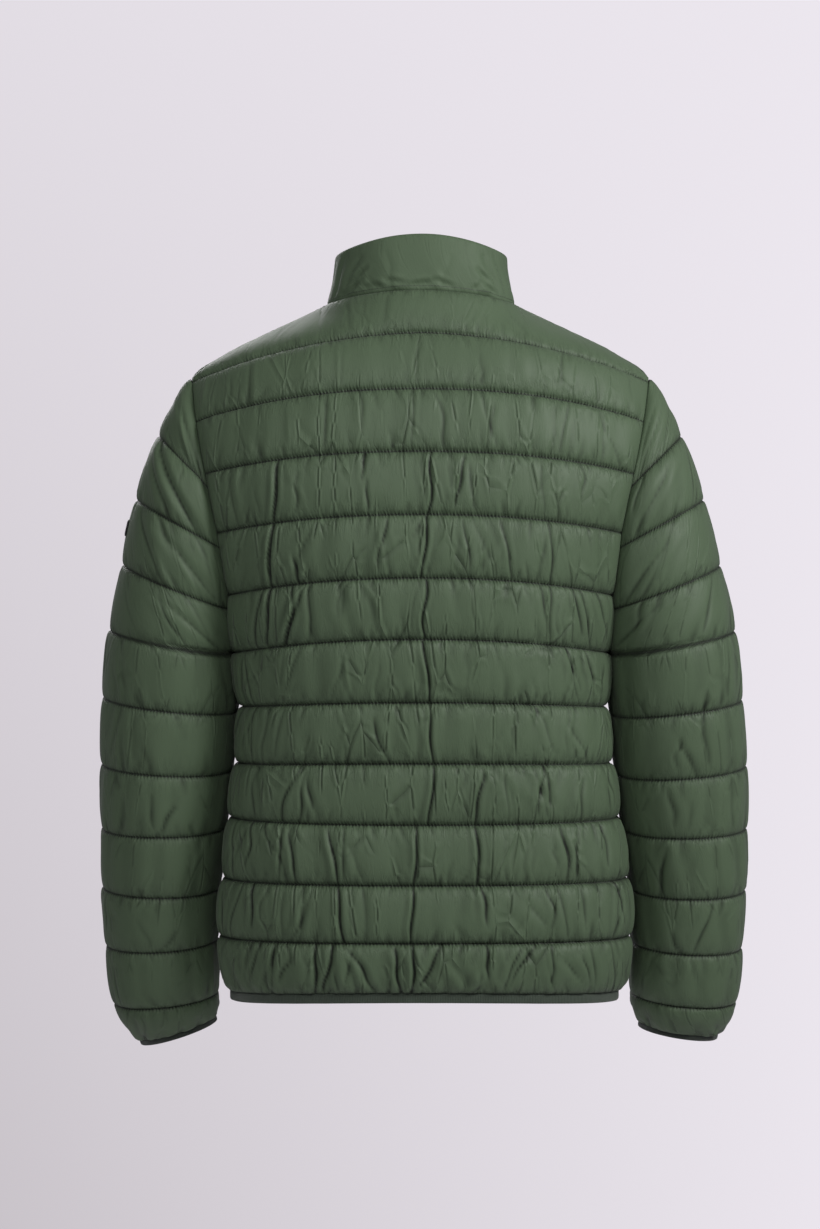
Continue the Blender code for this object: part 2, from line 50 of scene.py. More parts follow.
# Metres, a value for each stitch line from the neck seam down to the hem binding
BACK = {
    "z_mid": [0.004, -0.040, -0.096, -0.157, -0.218, -0.279, -0.338, -0.399, -0.458, -0.517,
        -0.575, -0.6305, -0.679],
    "y_mid": [0.062, 0.080, 0.103, 0.117, 0.124, 0.126, 0.124, 0.120, 0.118, 0.119, 0.122, 0.124,
        0.119],
    "y_edge": [0.0, 0.012, 0.040, 0.058, 0.058, 0.040, 0.004, 0.008, 0.010, 0.010, 0.010, 0.010,
        0.010],
}
EDGE = {
    "z": [-0.079, -0.083, -0.124, -0.176, -0.234, -0.295, -0.352, -0.405, -0.461, -0.515, -0.575,
        -0.632, -0.686],
    "x_left": [0.2290, 0.2280, 0.2222, 0.2120, 0.2000, 0.1900, 0.1860, 0.1775, 0.1810, 0.1870,
        0.1935, 0.1970, 0.1890],
    "x_right": [0.2270, 0.2265, 0.2195, 0.2085, 0.1965, 0.1888, 0.1855, 0.1815, 0.1860, 0.1930,
        0.2020, 0.2045, 0.1960],
}
SECTION = {
    "swell": [2.0, 2.6, 2.6, 2.7, 2.7, 2.6, 2.5, 2.4, 2.4, 2.4, 2.4, 2.4, 2.4],
    "turn": [1.0, 1.0, 1.05, 1.1, 1.2, 1.5, 2.2, 2.4, 2.4, 2.4, 2.4, 2.4, 2.4],
}
SHOULDER = {
    "x": [0.0935, 0.125, 0.152, 0.180, 0.201, 0.220, 0.230],
    "z": [-0.006, -0.022, -0.035, -0.048, -0.060, -0.072, -0.079],
}
NECK_HALF_WIDTH = 0.0935
NECK_SPREAD = 0.44
BODY_WALL = 0.0026
BODY_PUFF = 0.0066
SEAM_GAP = 0.0002
BACK_COLUMNS = 200  # from the middle to one side
CHANNEL_HEIGHT = 0.058
# The least half width of a crease for each unit that it leans, so no step shows
LEANING_CREASE = 0.0052
BODY_LINES = 12
# Rows of one channel, closer together beside its stitch lines
CHANNEL_STEPS = np.array([0, 0.026, 0.065, 0.120, 0.185, 0.255, 0.330, 0.405, 0.480, 0.555, 0.630,
    0.705, 0.780, 0.850, 0.915, 0.967])


def unit(vectors):
    return vectors / np.maximum(np.linalg.norm(vectors, axis=-1, keepdims=True), 1e-12)


def through(lines, at):
    """A smooth curve through the first axis of lines, read at the positions in at."""
    lines = np.asarray(lines, float)
    last = len(lines) - 1
    at = np.asarray(at, float)
    k = np.minimum(at.astype(int), last - 1)
    f = (at - k).reshape((-1,) + (1,) * (lines.ndim - 1))
    padded = np.concatenate([[2 * lines[0] - lines[1]], lines, [2 * lines[-1] - lines[-2]]])
    a, b, c, d = (padded[k + o] for o in range(4))
    return 0.5 * (2 * b + (c - a) * f + (2 * a - 5 * b + 4 * c - d) * f**2
        + (3 * b - a - 3 * c + d) * f**3)


def body_line(k, s, table, side, x_mid, neck_fall):
    """One stitch line, from the middle of the panel (s = 0) to its edge (s = 1)."""
    x_edge = EDGE["x_left" if side > 0 else "x_right"][k]
    if k == 0:
        turn = np.clip(s / NECK_SPREAD, 0, 1) * np.pi / 2
        run = np.clip((s - NECK_SPREAD) / (1 - NECK_SPREAD), 0, 1)
        x = x_mid + (NECK_HALF_WIDTH - x_mid) * np.sin(turn) + (x_edge - NECK_HALF_WIDTH) * run
        z_neck, y_neck = SHOULDER["z"][0], -0.004
        seam_z = np.interp(x, SHOULDER["x"], SHOULDER["z"])
        z = np.where(
            run > 0, seam_z, z_neck + (table["z_mid"][0] - z_neck) * np.cos(turn) ** neck_fall
        )
        y = np.where(
            run > 0, y_neck * (1 - run), y_neck + (table["y_mid"][0] - y_neck) * np.cos(turn)
        )
    else:
        x = x_mid + (x_edge - x_mid) * s
        shape = (1 - s ** SECTION["swell"][k]) ** (1 / SECTION["turn"][k])
        y = table["y_edge"][k] + (table["y_mid"][k] - table["y_edge"][k]) * shape
        z = table["z_mid"][k] + (EDGE["z"][k] - table["z_mid"][k]) * s ** (1.7 if k == 1 else 2.2)
        if x_mid and k in (1, 2):
            z = z + (0.016 if k == 1 else 0.006) * np.sin(np.pi * s)
    return np.stack([side * x, y, z], axis=-1)


def even_spread(count):
    """Columns a like distance apart round the waist."""
    s = 1 - np.linspace(1, 0, 4001) ** 2.5
    line = body_line(8, s, BACK, 1, 0.0, 2.0)
    run = np.concatenate([[0], np.cumsum(np.linalg.norm(np.diff(line, axis=0), axis=1))])
    waist = np.interp(np.linspace(0, run[-1], count + 1), run, s)
    return 0.55 * waist + 0.45 * np.linspace(0, 1, count + 1)


BODY_ROWS = np.append((np.arange(BODY_LINES)[:, None] + CHANNEL_STEPS).ravel(), BODY_LINES)


def body_base(table, side, spread, x_mid=0.0, neck_fall=2.0):
    lines = [body_line(k, spread, table, side, x_mid, neck_fall) for k in range(BODY_LINES + 1)]
    return through(lines, BODY_ROWS)


def outward(base, centre, wrap=None):
    """Unit vectors that point out of the jacket at each point of a grid."""
    along, across = np.gradient(base, axis=0), np.gradient(base, axis=1)
    if wrap is not None:
        across[wrap:, 0] = across[wrap:, -1] = base[wrap:, 1] - base[wrap:, -2]
    found = unit(np.cross(along, across))
    return found if (found * (base - centre)).sum() > 0 else -found


def puffed(rows, square=2.6, rise=0.5):
    """0 on a stitch line, 1 on the flat top of the padding between two of them."""
    f = (rows - np.floor(rows)) ** 0.84
    return (1 - np.abs(2 * f - 1) ** square) ** rise


def run_along(base):
    """Length along each row from its first point."""
    step = np.linalg.norm(np.diff(base, axis=1), axis=2)
    return np.concatenate([np.zeros((len(base), 1)), np.cumsum(step, axis=1)], axis=1)


def seam_fall(base, sides, reach=0.013):
    """0 on a sewn edge and 1 a little way in, so the padding rises from the seam."""
    run = run_along(base)
    near = np.ones(base.shape[:2])
    if "first" in sides:
        near = np.minimum(near, run / reach)
    if "last" in sides:
        near = np.minimum(near, (run[:, -1:] - run) / reach)
    return np.sin(np.clip(near, 0, 1) * np.pi / 2) ** 0.7


def pucker_row(rng, u, drop, pitch, depth, slant, length, wide=1.0):
    """Short folds that run off a stitch line where its thread gathers the cloth."""
    height = np.zeros(u.shape)
    place, end = u.min(), u.max()
    while place < end:
        place += pitch * rng.gamma(2.0, 0.5)
        long = length * rng.gamma(1.5, 1 / 1.5)
        thin = wide * rng.uniform(0.0011, 0.0024) * (1 + 0.5 * long / length)
        bend = rng.normal(0, 0.0018)
        deep = depth * rng.uniform(0.3, 1.25)
        path = (
            place + (slant + rng.normal(0, 0.25)) * drop
            + bend * np.sin(np.pi * np.clip(drop / long, 0, 1))
        )
        x = (u - path) / thin
        fade = np.clip(1 - drop / long, 0, 1) ** 0.8 * (1 - np.exp(-drop / 0.0010))
        height += deep * fade * (0.62 * np.exp(-((np.abs(x) - 1.7) ** 2) / 1.1) - np.exp(-(x**2)))
    return height


def crease(u, f, top, foot, start, end, deep, thin, bend, phase, lap=0.5):
    """One pressed fold across a channel, from f = top to foot: a sharp valley with one
    full shoulder, where the cloth laps over."""
    t = np.clip((f - top) / max(foot - top, 1e-6), 0, 1)
    path = start + (end - start) * t + bend * (np.sin(2 * np.pi * t + phase) - np.sin(phase))
    lean = (end - start) / max(foot - top, 0.1) / CHANNEL_HEIGHT
    x = (u - path) / max(thin * np.sqrt(1 + lean**2), LEANING_CREASE * abs(lean))
    off_end = np.maximum(np.maximum(top - f, f - foot), 0) / 0.05
    fade = np.exp(-(off_end**2)) * (0.55 + 0.45 * np.sin(np.pi * t))
    right, left = np.exp(-(((x - 2.4) / 1.6) ** 2)), np.exp(-(((x + 2.4) / 1.6) ** 2))
    return deep * fade * (lap * right + (0.75 - lap) * left - np.exp(-np.abs(x) ** 1.15))


def channel_folds(rng, u, rows, pitch=0.0085, depth=0.0010, slant=0.0, length=0.010, folds=24,
    soft=0.0010):
    """The puckers of every stitch line and the loose folds between two lines, in metres
    above the smooth padding."""
    relief = np.zeros(u.shape)
    for k in range(int(rows.max() + 0.5)):
        these = np.flatnonzero((rows >= k) & (rows <= k + 1))
        f = (rows[these] - k)[:, None]
        own = u[these]
        low, high = own.min(), own.max()
        drop = CHANNEL_HEIGHT * f + 0 * own
        rise = CHANNEL_HEIGHT - drop
        part = pucker_row(rng, own, drop, pitch, depth, slant, length)
        part += pucker_row(rng, own, rise, pitch, depth, -slant, length)
        # Broader dents where the padding hangs down on to the lower line
        part += pucker_row(rng, own, rise, 2.6 * pitch, 1.3 * depth, -slant, 1.7 * length, wide=1.8)
        if k == int(rows.max()) - 1:
            # Gathered into the stretch binding, so the last channel has deep folds
            part += pucker_row(rng, own, rise, 1.7 * pitch, 2.0 * depth, 0.2, 3.0 * length,
                wide=2.0)
        for _ in range(int(folds * (high - low))):
            top = rng.choice([0.0, 0.0, rng.uniform(0.05, 0.5)])
            foot = (
                rng.choice([1.0, 1.0, rng.uniform(0.55, 0.95)]) if top > 0
                else rng.choice([1.0, rng.uniform(0.3, 0.9)])
            )
            start = rng.uniform(low, high)
            part += crease(
                own, f, top, foot,
                start, start + rng.normal(slant * CHANNEL_HEIGHT, 0.0110) * max(foot - top, 0.3),
                soft * rng.choice([1, 1, -0.8]) * rng.uniform(0.4, 1.3),
                rng.uniform(0.0012, 0.0030), rng.normal(0, 0.0016), rng.uniform(0, 6.3),
                rng.uniform(0.2, 0.6),
            )
        swell = np.zeros(own.shape)
        for _ in range(5):
            swell += np.sin(
                2 * np.pi * own / rng.uniform(0.022, 0.070) + rng.uniform(-2.2, 2.2) * f
                + rng.uniform(0, 6.3)
            )
        part += 0.00022 * swell
        relief[these] += part * np.where((f == 0) | (f == 1), 0.5, 1.0)
    return relief * np.minimum(1, puffed(rows)[:, None] * 1.35 + 0.06)


def hollowness(base, skin, reach=4):
    """How far each point of the cloth lies below the cloth beside it, in mm: the depth of the shade
    painted into its hollows.
    """
    rise = np.linalg.norm(skin - base, axis=2)
    wide = np.pad(rise, ((0, 0), (reach, reach)), mode="edge")
    around = np.mean([wide[:, o : o + rise.shape[1]] for o in range(2 * reach + 1)], axis=0)
    return np.clip((around - rise) * 1000, 0, 1.5)


def set_in(base, wrap=None):
    """The grid with its sewn edges drawn in by half a seam gap."""
    moved = base.copy()
    moved[0] += SEAM_GAP * unit(base[1] - base[0])
    moved[-1] += SEAM_GAP * unit(base[-2] - base[-1])
    opened = slice(0, len(base) if wrap is None else wrap)
    moved[opened, 0] += SEAM_GAP * unit(base[opened, 1] - base[opened, 0])
    moved[opened, -1] += SEAM_GAP * unit(base[opened, -2] - base[opened, -1])
    return moved


def lining_of(base, normal, rows, thick, rim, wrap=None):
    """The plain inside: one smooth wall, thinner where the piece is sewn."""
    full = seam_fall(base, ("first", "last"), 0.012)
    if wrap is not None:
        full[wrap:] = 1
    ends = np.clip(np.minimum(rows, rows[-1] - rows) / 0.2, 0, 1)[:, None]
    full = full * ends
    bulge = 0.0010 * full * puffed(rows)[:, None]
    return base - normal * (rim + (thick - rim) * full + bulge)[..., None]


def placed(name, mesh):
    piece = bpy.data.objects.new(name, mesh)
    bpy.context.scene.collection.objects.link(piece)
    return piece


def quilted(name, outer, lining, u, rows, material, wrap=None, hollow_shade_depths=None):
    """A closed padded piece from its raised outside and its lining. From row wrap down
    its first and last columns are one, as a sleeve's are."""
    count, width = outer.shape[:2]
    made = bmesh.new()
    bmesh.ops.create_grid(made, x_segments=width - 1, y_segments=count - 1, size=0.5)
    bmesh.ops.solidify(made, geom=made.faces[:], thickness=0.01)
    spot = {}
    for vert in made.verts:
        i, j = round((0.5 - vert.co.y) * (count - 1)), round((vert.co.x + 0.5) * (width - 1))
        vert.co = (lining if abs(vert.co.z) > 0.005 else outer)[i, j]
        spot[vert] = (i, j)
    if wrap is not None:
        between = [
            face for face in made.faces
            if len({spot[v][1] for v in face.verts}) == 1
            and min(spot[v][0] for v in face.verts) >= wrap
        ]
        bmesh.ops.delete(made, geom=between, context="FACES_ONLY")
        seam = [v for v in made.verts if spot[v][1] in (0, width - 1) and spot[v][0] >= wrap]
        bmesh.ops.remove_doubles(made, verts=seam, dist=0.00001)
    # The lining is plain, so every second row and column of it goes
    inside = {v for v in made.verts if (v.co - Vector(lining[spot[v]])).length < 1e-6}
    for axis in (1, 0):
        spare = []
        for edge in made.edges:
            a, b = edge.verts
            if (spot[a][axis] == spot[b][axis] and spot[a][axis] % 2
                    and spot[a][axis] < outer.shape[axis] - 1):
                if a in inside and b in inside:
                    spare.append(edge)
        bmesh.ops.dissolve_edges(made, edges=spare, use_verts=True)
        inside = {v for v in inside if v.is_valid}
    bmesh.ops.recalc_face_normals(made, faces=made.faces[:])
    made.verts.index_update()
    place = np.array([spot[v] for v in made.verts])
    mesh = bpy.data.meshes.new(name)
    made.to_mesh(mesh)
    made.free()
    corner, start = np.zeros(len(mesh.loops), int), np.zeros(len(mesh.polygons), int)
    mesh.loops.foreach_get("vertex_index", corner)
    mesh.polygons.foreach_get("loop_start", start)
    along = u[place[corner, 0], place[corner, 1]]
    if wrap is not None:
        face = np.zeros(len(corner), int)
        face[start[1:]] = 1
        face = np.cumsum(face)
        most = np.maximum.reduceat(along, start)[face]
        whole = u[place[corner, 0], -1]
        along = np.where(most - along > whole / 2, along + whole, along)
    layer = mesh.uv_layers.new(name="quilt")
    layer.data.foreach_set("uv", np.stack([along, rows[place[corner, 0]]], axis=1).ravel())
    # Painted shade: how far each point lies in a hollow, by which the material darkens the cloth
    if hollow_shade_depths is not None:
        deep = mesh.attributes.new("hollow_shade", "FLOAT", "POINT")
        deep.data.foreach_set("value", hollow_shade_depths[place[:, 0], place[:, 1]])
    mesh.polygons.foreach_set("use_smooth", np.ones(len(mesh.polygons), bool))
    mesh.materials.append(material)
    return placed(name, mesh)


def node(tree, kind, settings=(), **inputs):
    """A shader node with some of its sockets set or linked, by name or by number."""
    made = tree.nodes.new("ShaderNode" + kind)
    for key, value in settings:
        setattr(made, key, value)
    for key, value in inputs.items():
        socket = (
            made.inputs[int(key[1:])] if key[1:].isdigit() else made.inputs[key.replace("_", " ")]
        )
        if isinstance(value, bpy.types.NodeSocket):
            tree.links.new(value, socket)
        else:
            socket.default_value = value
    return made


def maths(tree, operation, a, b=0.0, c=0.0):
    return node(tree, "Math", [("operation", operation)], i0=a, i1=b, i2=c).outputs[0]


# Shared by every quilted piece: thread ticks and fine crinkles beside a stitch line, and their
# painted shade, read from the quilt map, whose u is metres along the line and v the line's number
gather = bpy.data.node_groups.new("stitch_gather", "ShaderNodeTree")
for label in ("Channel Height", "Tick Pitch", "Tick Reach", "Ticks", "Crinkle Reach", "Crinkles",
    "Creases"):
    gather.interface.new_socket(label, in_out="INPUT", socket_type="NodeSocketFloat")
for label in ("Height", "Painted Shade And Highlight"):
    gather.interface.new_socket(label, in_out="OUTPUT", socket_type="NodeSocketFloat")
entry, leave = gather.nodes.new("NodeGroupInput"), gather.nodes.new("NodeGroupOutput")
quilt = node(gather, "SeparateXYZ", Vector=node(gather, "UVMap", [("uv_map", "quilt")]).outputs[0])
along, line = quilt.outputs[0], quilt.outputs[1]
off_line = maths(gather, "PINGPONG", line, 0.5)
away = maths(gather, "MULTIPLY", off_line, entry.outputs["Channel Height"])
by_tick = maths(gather, "EXPONENT", maths(gather, "DIVIDE", maths(gather, "MULTIPLY", away, -1.0),
    entry.outputs["Tick Reach"]))
by_fold = maths(gather, "EXPONENT", maths(gather, "DIVIDE", maths(gather, "MULTIPLY", away, -1.0),
    entry.outputs["Crinkle Reach"]))
leaning = maths(gather, "MULTIPLY_ADD", line, 0.02, along)
turn = maths(gather, "DIVIDE", maths(gather, "MULTIPLY", leaning, 6.28318),
    entry.outputs["Tick Pitch"])
grain = node(gather, "CombineXYZ", X=maths(gather, "MULTIPLY", along, 210.0),
    Y=maths(gather, "MULTIPLY", line, 2.4), Z=maths(gather, "MULTIPLY", line, 1.7))
wander = node(gather, "TexNoise", Vector=grain.outputs[0], Scale=0.21, Detail=1.0)
wrinkle = node(gather, "TexNoise", Vector=grain.outputs[0], Scale=1.0, Detail=3.0, Roughness=0.55,
    Distortion=0.5)
ticking = maths(gather, "MULTIPLY_ADD",
    maths(gather, "SINE", maths(gather, "MULTIPLY_ADD", wander.outputs[0], 7.0, turn)), 0.5, 0.5)
uneven = maths(gather, "MULTIPLY_ADD", wrinkle.outputs[0], 1.6, 0.2)
tick = maths(gather, "MULTIPLY", maths(gather, "MULTIPLY", ticking, by_tick), uneven)
share = maths(gather, "MULTIPLY_ADD", by_fold, 0.94, 0.06)
# A ridged noise gives thin sharp creases between broad soft ones
ridge = maths(gather, "POWER", maths(gather, "SUBTRACT", 1.0, maths(gather, "ABSOLUTE",
    maths(gather, "MULTIPLY_ADD", wrinkle.outputs[0], 3.2, -1.6))), 7.0)
broad = maths(gather, "SUBTRACT", wrinkle.outputs[0], 0.5)
folds = maths(gather, "MULTIPLY",
    maths(gather, "MULTIPLY", maths(gather, "MULTIPLY_ADD", ridge, -0.35, broad), share),
    entry.outputs["Crinkles"])
# Thin pressed creases: the edges of tall cells, kept only here and there
bent = node(gather, "TexNoise", Vector=grain.outputs[0], Scale=0.16, Detail=2.0)
cells = node(
    gather, "TexVoronoi",
    [("feature", "DISTANCE_TO_EDGE"), ("voronoi_dimensions", "2D")], Scale=1.0,
    Vector=node(
        gather, "CombineXYZ",
        X=maths(gather, "MULTIPLY_ADD", bent.outputs[0], 0.5,
            maths(gather, "MULTIPLY", along, 48.0)),
        Y=maths(gather, "MULTIPLY", line, 0.62),
    ).outputs[0],
).outputs["Distance"]
spread = node(gather, "CombineXYZ", X=maths(gather, "MULTIPLY", along, 17.0),
    Y=maths(gather, "MULTIPLY", line, 1.1))
some = node(gather, "MapRange", [("interpolation_type", "SMOOTHSTEP")],
    i0=node(gather, "TexNoise", Vector=spread.outputs[0], Scale=1.0, Detail=1.0).outputs[0],
    i1=0.41, i2=0.56).outputs[0]
some = maths(gather, "MULTIPLY", some,
    node(gather, "MapRange", i0=line, i1=0.6, i2=3.0, i3=0.2, i4=1.0).outputs[0])
valley = maths(gather, "MULTIPLY", some,
    maths(gather, "EXPONENT", maths(gather, "DIVIDE", cells, -0.036)))
bank = maths(gather, "EXPONENT", maths(gather, "MULTIPLY", maths(gather, "POWER",
    maths(gather, "DIVIDE", maths(gather, "SUBTRACT", cells, 0.085), 0.055), 2.0), -1.0))
# Some are sunk and some stand up as thin ridges
sunk = node(gather, "MapRange", i0=node(gather, "TexNoise", Vector=spread.outputs[0], Scale=2.3,
    Detail=0.0).outputs[0], i1=0.42, i2=0.54, i3=-1.0, i4=1.0).outputs[0]
pressed = maths(gather, "MULTIPLY", maths(gather, "MULTIPLY", maths(gather, "SUBTRACT",
    maths(gather, "MULTIPLY", maths(gather, "MULTIPLY", bank, some), 0.5),
    valley), sunk), entry.outputs["Creases"])
gathered = maths(gather, "SUBTRACT", folds, maths(gather, "MULTIPLY", tick, entry.outputs["Ticks"]))
gather.links.new(maths(gather, "ADD", gathered, pressed), leave.inputs["Height"])
# Painted shade: darker in a thin line along each stitch line, in the thread ticks, in the sharp
# crinkles and in the sunk pressed creases; the creases that stand up as ridges are painted lighter,
# a painted highlight
stitch_groove_shade = maths(gather, "EXPONENT", maths(gather, "MULTIPLY", maths(gather, "POWER",
    maths(gather, "DIVIDE", away, 0.0010), 2.0), -1.0))
painted_shade_and_highlight = maths(gather, "MULTIPLY_ADD", stitch_groove_shade, 0.55,
    maths(gather, "MULTIPLY_ADD", tick, 0.75,
    maths(gather, "MULTIPLY_ADD", maths(gather, "MULTIPLY", ridge, share), 0.25,
    maths(gather, "MULTIPLY", maths(gather, "MULTIPLY", valley, sunk), 0.30))))
gather.links.new(maths(gather, "SUBTRACT", 1.0, maths(gather, "MINIMUM", painted_shade_and_highlight, 0.85)),
    leave.inputs["Painted Shade And Highlight"])


def nylon(name, colour, rough=0.53, ticks=0.00055, crinkles=0.0013, creases=0.00090):
    """Satin woven nylon: a soft gloss, a fine weave, puckers beside the stitching, and painted
    shade in its hollows, stitch lines and creases.
    """
    made = bpy.data.materials.new(name)
    made.use_nodes = True
    tree = made.node_tree
    shader = tree.nodes["Principled BSDF"]
    place = tree.nodes.new("ShaderNodeTexCoord").outputs["Object"]
    gathers = tree.nodes.new("ShaderNodeGroup")
    gathers.node_tree = gather
    for label, value in (
        ("Channel Height", CHANNEL_HEIGHT), ("Tick Pitch", 0.0033), ("Tick Reach", 0.0019),
        ("Ticks", ticks), ("Crinkle Reach", 0.009), ("Crinkles", crinkles), ("Creases", creases),
    ):
        gathers.inputs[label].default_value = value
    weave = node(tree, "TexNoise", Vector=place, Scale=1700.0, Detail=1.0)
    worn = node(tree, "TexNoise", Vector=place, Scale=11.0, Detail=3.0)
    height = maths(tree, "MULTIPLY_ADD", weave.outputs[0], 0.00002, gathers.outputs["Height"])
    bump = node(tree, "Bump", Strength=1.0, Distance=1.0, Height=height)
    tree.links.new(bump.outputs[0], shader.inputs["Normal"])
    # Painted shade: the cloth is darkened by how far it lies in a hollow
    hollow_shade = node(tree, "Attribute", [("attribute_name", "hollow_shade")]).outputs["Fac"]
    shaded = maths(tree, "SUBTRACT", 1.0, maths(tree, "MULTIPLY", hollow_shade, 0.62))
    # Painted shade: the random tone of the cloth times the painted shade and highlights of the
    # stitch lines and creases, times the painted shade of the hollows
    tone = maths(tree, "MULTIPLY", maths(tree, "MULTIPLY", maths(tree, "MULTIPLY_ADD",
        worn.outputs[0], 0.22, 0.89), gathers.outputs["Painted Shade And Highlight"]), shaded)
    paint = node(tree, "Mix", [("data_type", "RGBA"), ("blend_type", "MIX")], i0=tone,
        i6=(0, 0, 0, 1), i7=(*colour, 1))
    tree.links.new(paint.outputs[2], shader.inputs["Base Color"])
    gloss = maths(tree, "MULTIPLY_ADD", worn.outputs[0], 0.12, rough - 0.06)
    tree.links.new(gloss, shader.inputs["Roughness"])
    shader.inputs["Specular IOR Level"].default_value = 0.26
    shader.inputs["Sheen Weight"].default_value = 0.05
    shader.inputs["Sheen Roughness"].default_value = 0.45
    return made


GREEN = (0.084, 0.124, 0.071)
green_nylon = nylon("green_nylon", GREEN)
smoother_nylon = nylon("green_nylon_smoother", GREEN, creases=0.00035, crinkles=0.0008)

back_spread = even_spread(BACK_COLUMNS)
back = np.concatenate(
    [body_base(BACK, -1, back_spread)[:, ::-1], body_base(BACK, 1, back_spread)[:, 1:]], axis=1
)

UNDERARM_LINE = 6
UNDERARM = int(np.argmin(np.abs(BODY_ROWS - UNDERARM_LINE)))


def side_seam(side):
    """From the underarm down, the edge that the back and a front share."""
    x = EDGE["x_left" if side > 0 else "x_right"]
    points = [(side * x[k], 0.0 if k < UNDERARM_LINE else BACK["y_edge"][k], EDGE["z"][k])
        for k in range(BODY_LINES + 1)]
    return through(points, BODY_ROWS)[UNDERARM:]


back[UNDERARM:, 0], back[UNDERARM:, -1] = side_seam(-1), side_seam(1)
back_out = outward(back, back * [0, 0, 0.6] + [0, 0, -0.15])
# From the middle, + towards the wearer's left
back_run = run_along(back) - run_along(back)[:, BACK_COLUMNS : BACK_COLUMNS + 1]

# The long creases: the channel they are in, where they start and end down it (0 to 1),
# their place in metres towards the wearer's left, and depth, half width and bend in mm
BACK_CREASES = {
    "channel": [3, 4, 5, 6, 7, 8, 9, 10, 3, 4, 5, 3, 4, 4, 4, 3, 5, 4, 3, 4, 5, 8, 9, 9, 10, 6, 2,
        2, 7, 11, 11, 11, 11, 11, 11, 11, 11, 11, 10, 10, 9, 8],
    "top": [0.0, 0.0, 0.0, 0.0, 0.0, 0.0, 0.0, 0.0, 0.05, 0.0, 0.0, 0.1, 0.1, 0.15, 0.0, 0.5, 0.0,
        0.6, 0.0, 0.0, 0.0, 0.2, 0.0, 0.1, 0.0, 0.7, 0.0, 0.3, 0.3, 0.0, 0.1, 0.0, 0.0, 0.0, 0.1,
        0.0, 0.0, 0.1, 0.0, 0.0, 0.2, 0.0],
    "foot": [1.0, 1.0, 1.0, 1.0, 1.0, 1.0, 1.0, 1.0, 1.0, 1.0, 0.9, 0.75, 0.95, 0.9, 0.75, 1.0,
        1.0, 1.0, 0.4, 1.0, 1.0, 1.0, 1.0, 1.0, 1.0, 1.0, 0.6, 1.0, 1.0, 1.0, 0.9, 0.8, 1.0, 0.9,
        1.0, 1.0, 0.6, 0.8, 0.7, 0.6, 1.0, 0.8],
    "start": [-0.010, -0.005, -0.004, -0.001, -0.008, -0.012, 0.004, 0.008, 0.1400, 0.1450, 0.1500,
        -0.041, -0.075, -0.040, 0.032, 0.052, 0.113, 0.124, 0.054, -0.1240, -0.1260, -0.060,
        -0.051, 0.089, 0.080, -0.009, 0.060, -0.070, 0.045, -0.020, 0.070, -0.110, 0.101, 0.085,
        0.025, 0.008, -0.062, -0.095, 0.168, -0.056, 0.128, -0.118],
    "end": [-0.006, 0.0005, -0.004, -0.008, -0.012, -0.006, 0.008, 0.010, 0.1450, 0.1500, 0.1560,
        -0.033, -0.087, -0.046, 0.042, 0.052, 0.136, 0.119, 0.057, -0.1255, -0.1270, -0.051,
        -0.054, 0.080, 0.0735, -0.047, 0.056, -0.062, 0.030, 0.010, 0.045, -0.085, 0.103, 0.095,
        0.018, 0.010, -0.064, -0.080, 0.168, -0.062, 0.120, -0.112],
    "deep": [2.6, 2.6, 2.4, 2.2, 2.0, 2.2, 2.2, 2.2, 2.8, 3.0, 2.8, 2.0, 1.3, 1.3, 1.4, 1.2, 1.6,
        2.0, 1.2, 1.3, 1.3, 2.2, 2.2, 2.2, 2.2, 1.4, 0.9, 0.9, 1.6, 2.2, 2.0, 2.2, 2.0, 2.2, 2.2,
        2.6, 2.0, 1.8, 1.8, 2.0, 1.6, 1.6],
    "wide": [1.6, 1.6, 1.6, 1.7, 1.8, 1.8, 1.8, 1.8, 2.2, 2.0, 2.0, 2.2, 2.0, 2.0, 1.9, 1.9, 2.0,
        2.2, 1.9, 2.0, 2.0, 2.2, 2.0, 2.2, 2.2, 2.4, 2.4, 2.4, 2.4, 2.6, 2.6, 2.6, 2.2, 2.4, 2.2,
        2.2, 2.2, 2.4, 2.2, 2.2, 2.2, 2.2],
    "bend": [2.2, 1.2, 2.4, 1.0, 1.2, 1.0, 1.0, 1.0, 1.0, 0.8, 1.0, 0.8, 1.0, 1.2, 1.0, 1.0, 0.8,
        1.0, 0.6, 1.2, 1.2, 1.2, 1.2, 1.0, 1.0, 1.6, 1.0, 1.0, 1.4, 2.0, 2.0, 2.0, 1.2, 1.5, 1.4,
        1.4, 1.0, 1.0, 1.0, 1.2, 1.0, 1.0],
    "phase": [0.3, 2.0, 3.5, 1.0, 4.0, 2.2, 0.9, 3.0, 1.2, 4.4, 0.5, 0.8, 2.0, 1.0, 2.8, 0.2, 1.7,
        2.6, 0.1, 1.1, 4.0, 5.0, 2.0, 1.0, 3.6, 0.6, 2.1, 0.2, 5.2, 1.0, 2.4, 4.1, 0.5, 2.0, 4.0,
        1.0, 3.0, 5.0, 0.4, 1.9, 2.5, 3.3],
}
rng = np.random.default_rng(11)
# The yoke is stretched over the shoulders and nearly smooth
yoke = np.interp(BODY_ROWS, [0, 1.2, 2.6], [0.35, 0.5, 1.0])[:, None]
back_relief = yoke * channel_folds(rng, back_run, BODY_ROWS)
for k, top, foot, start, end, deep, wide, bend, phase in zip(*BACK_CREASES.values()):
    these = np.flatnonzero((BODY_ROWS >= k) & (BODY_ROWS <= k + 1))
    f = (BODY_ROWS[these] - k)[:, None]
    back_relief[these] += crease(
        back_run[these], f, top, foot, start, end,
        1.3 * deep / 1000, 0.78 * wide / 1000, bend / 1000, phase,
    ) * np.where((f == 0) | (f == 1), 0.25, 1.0)
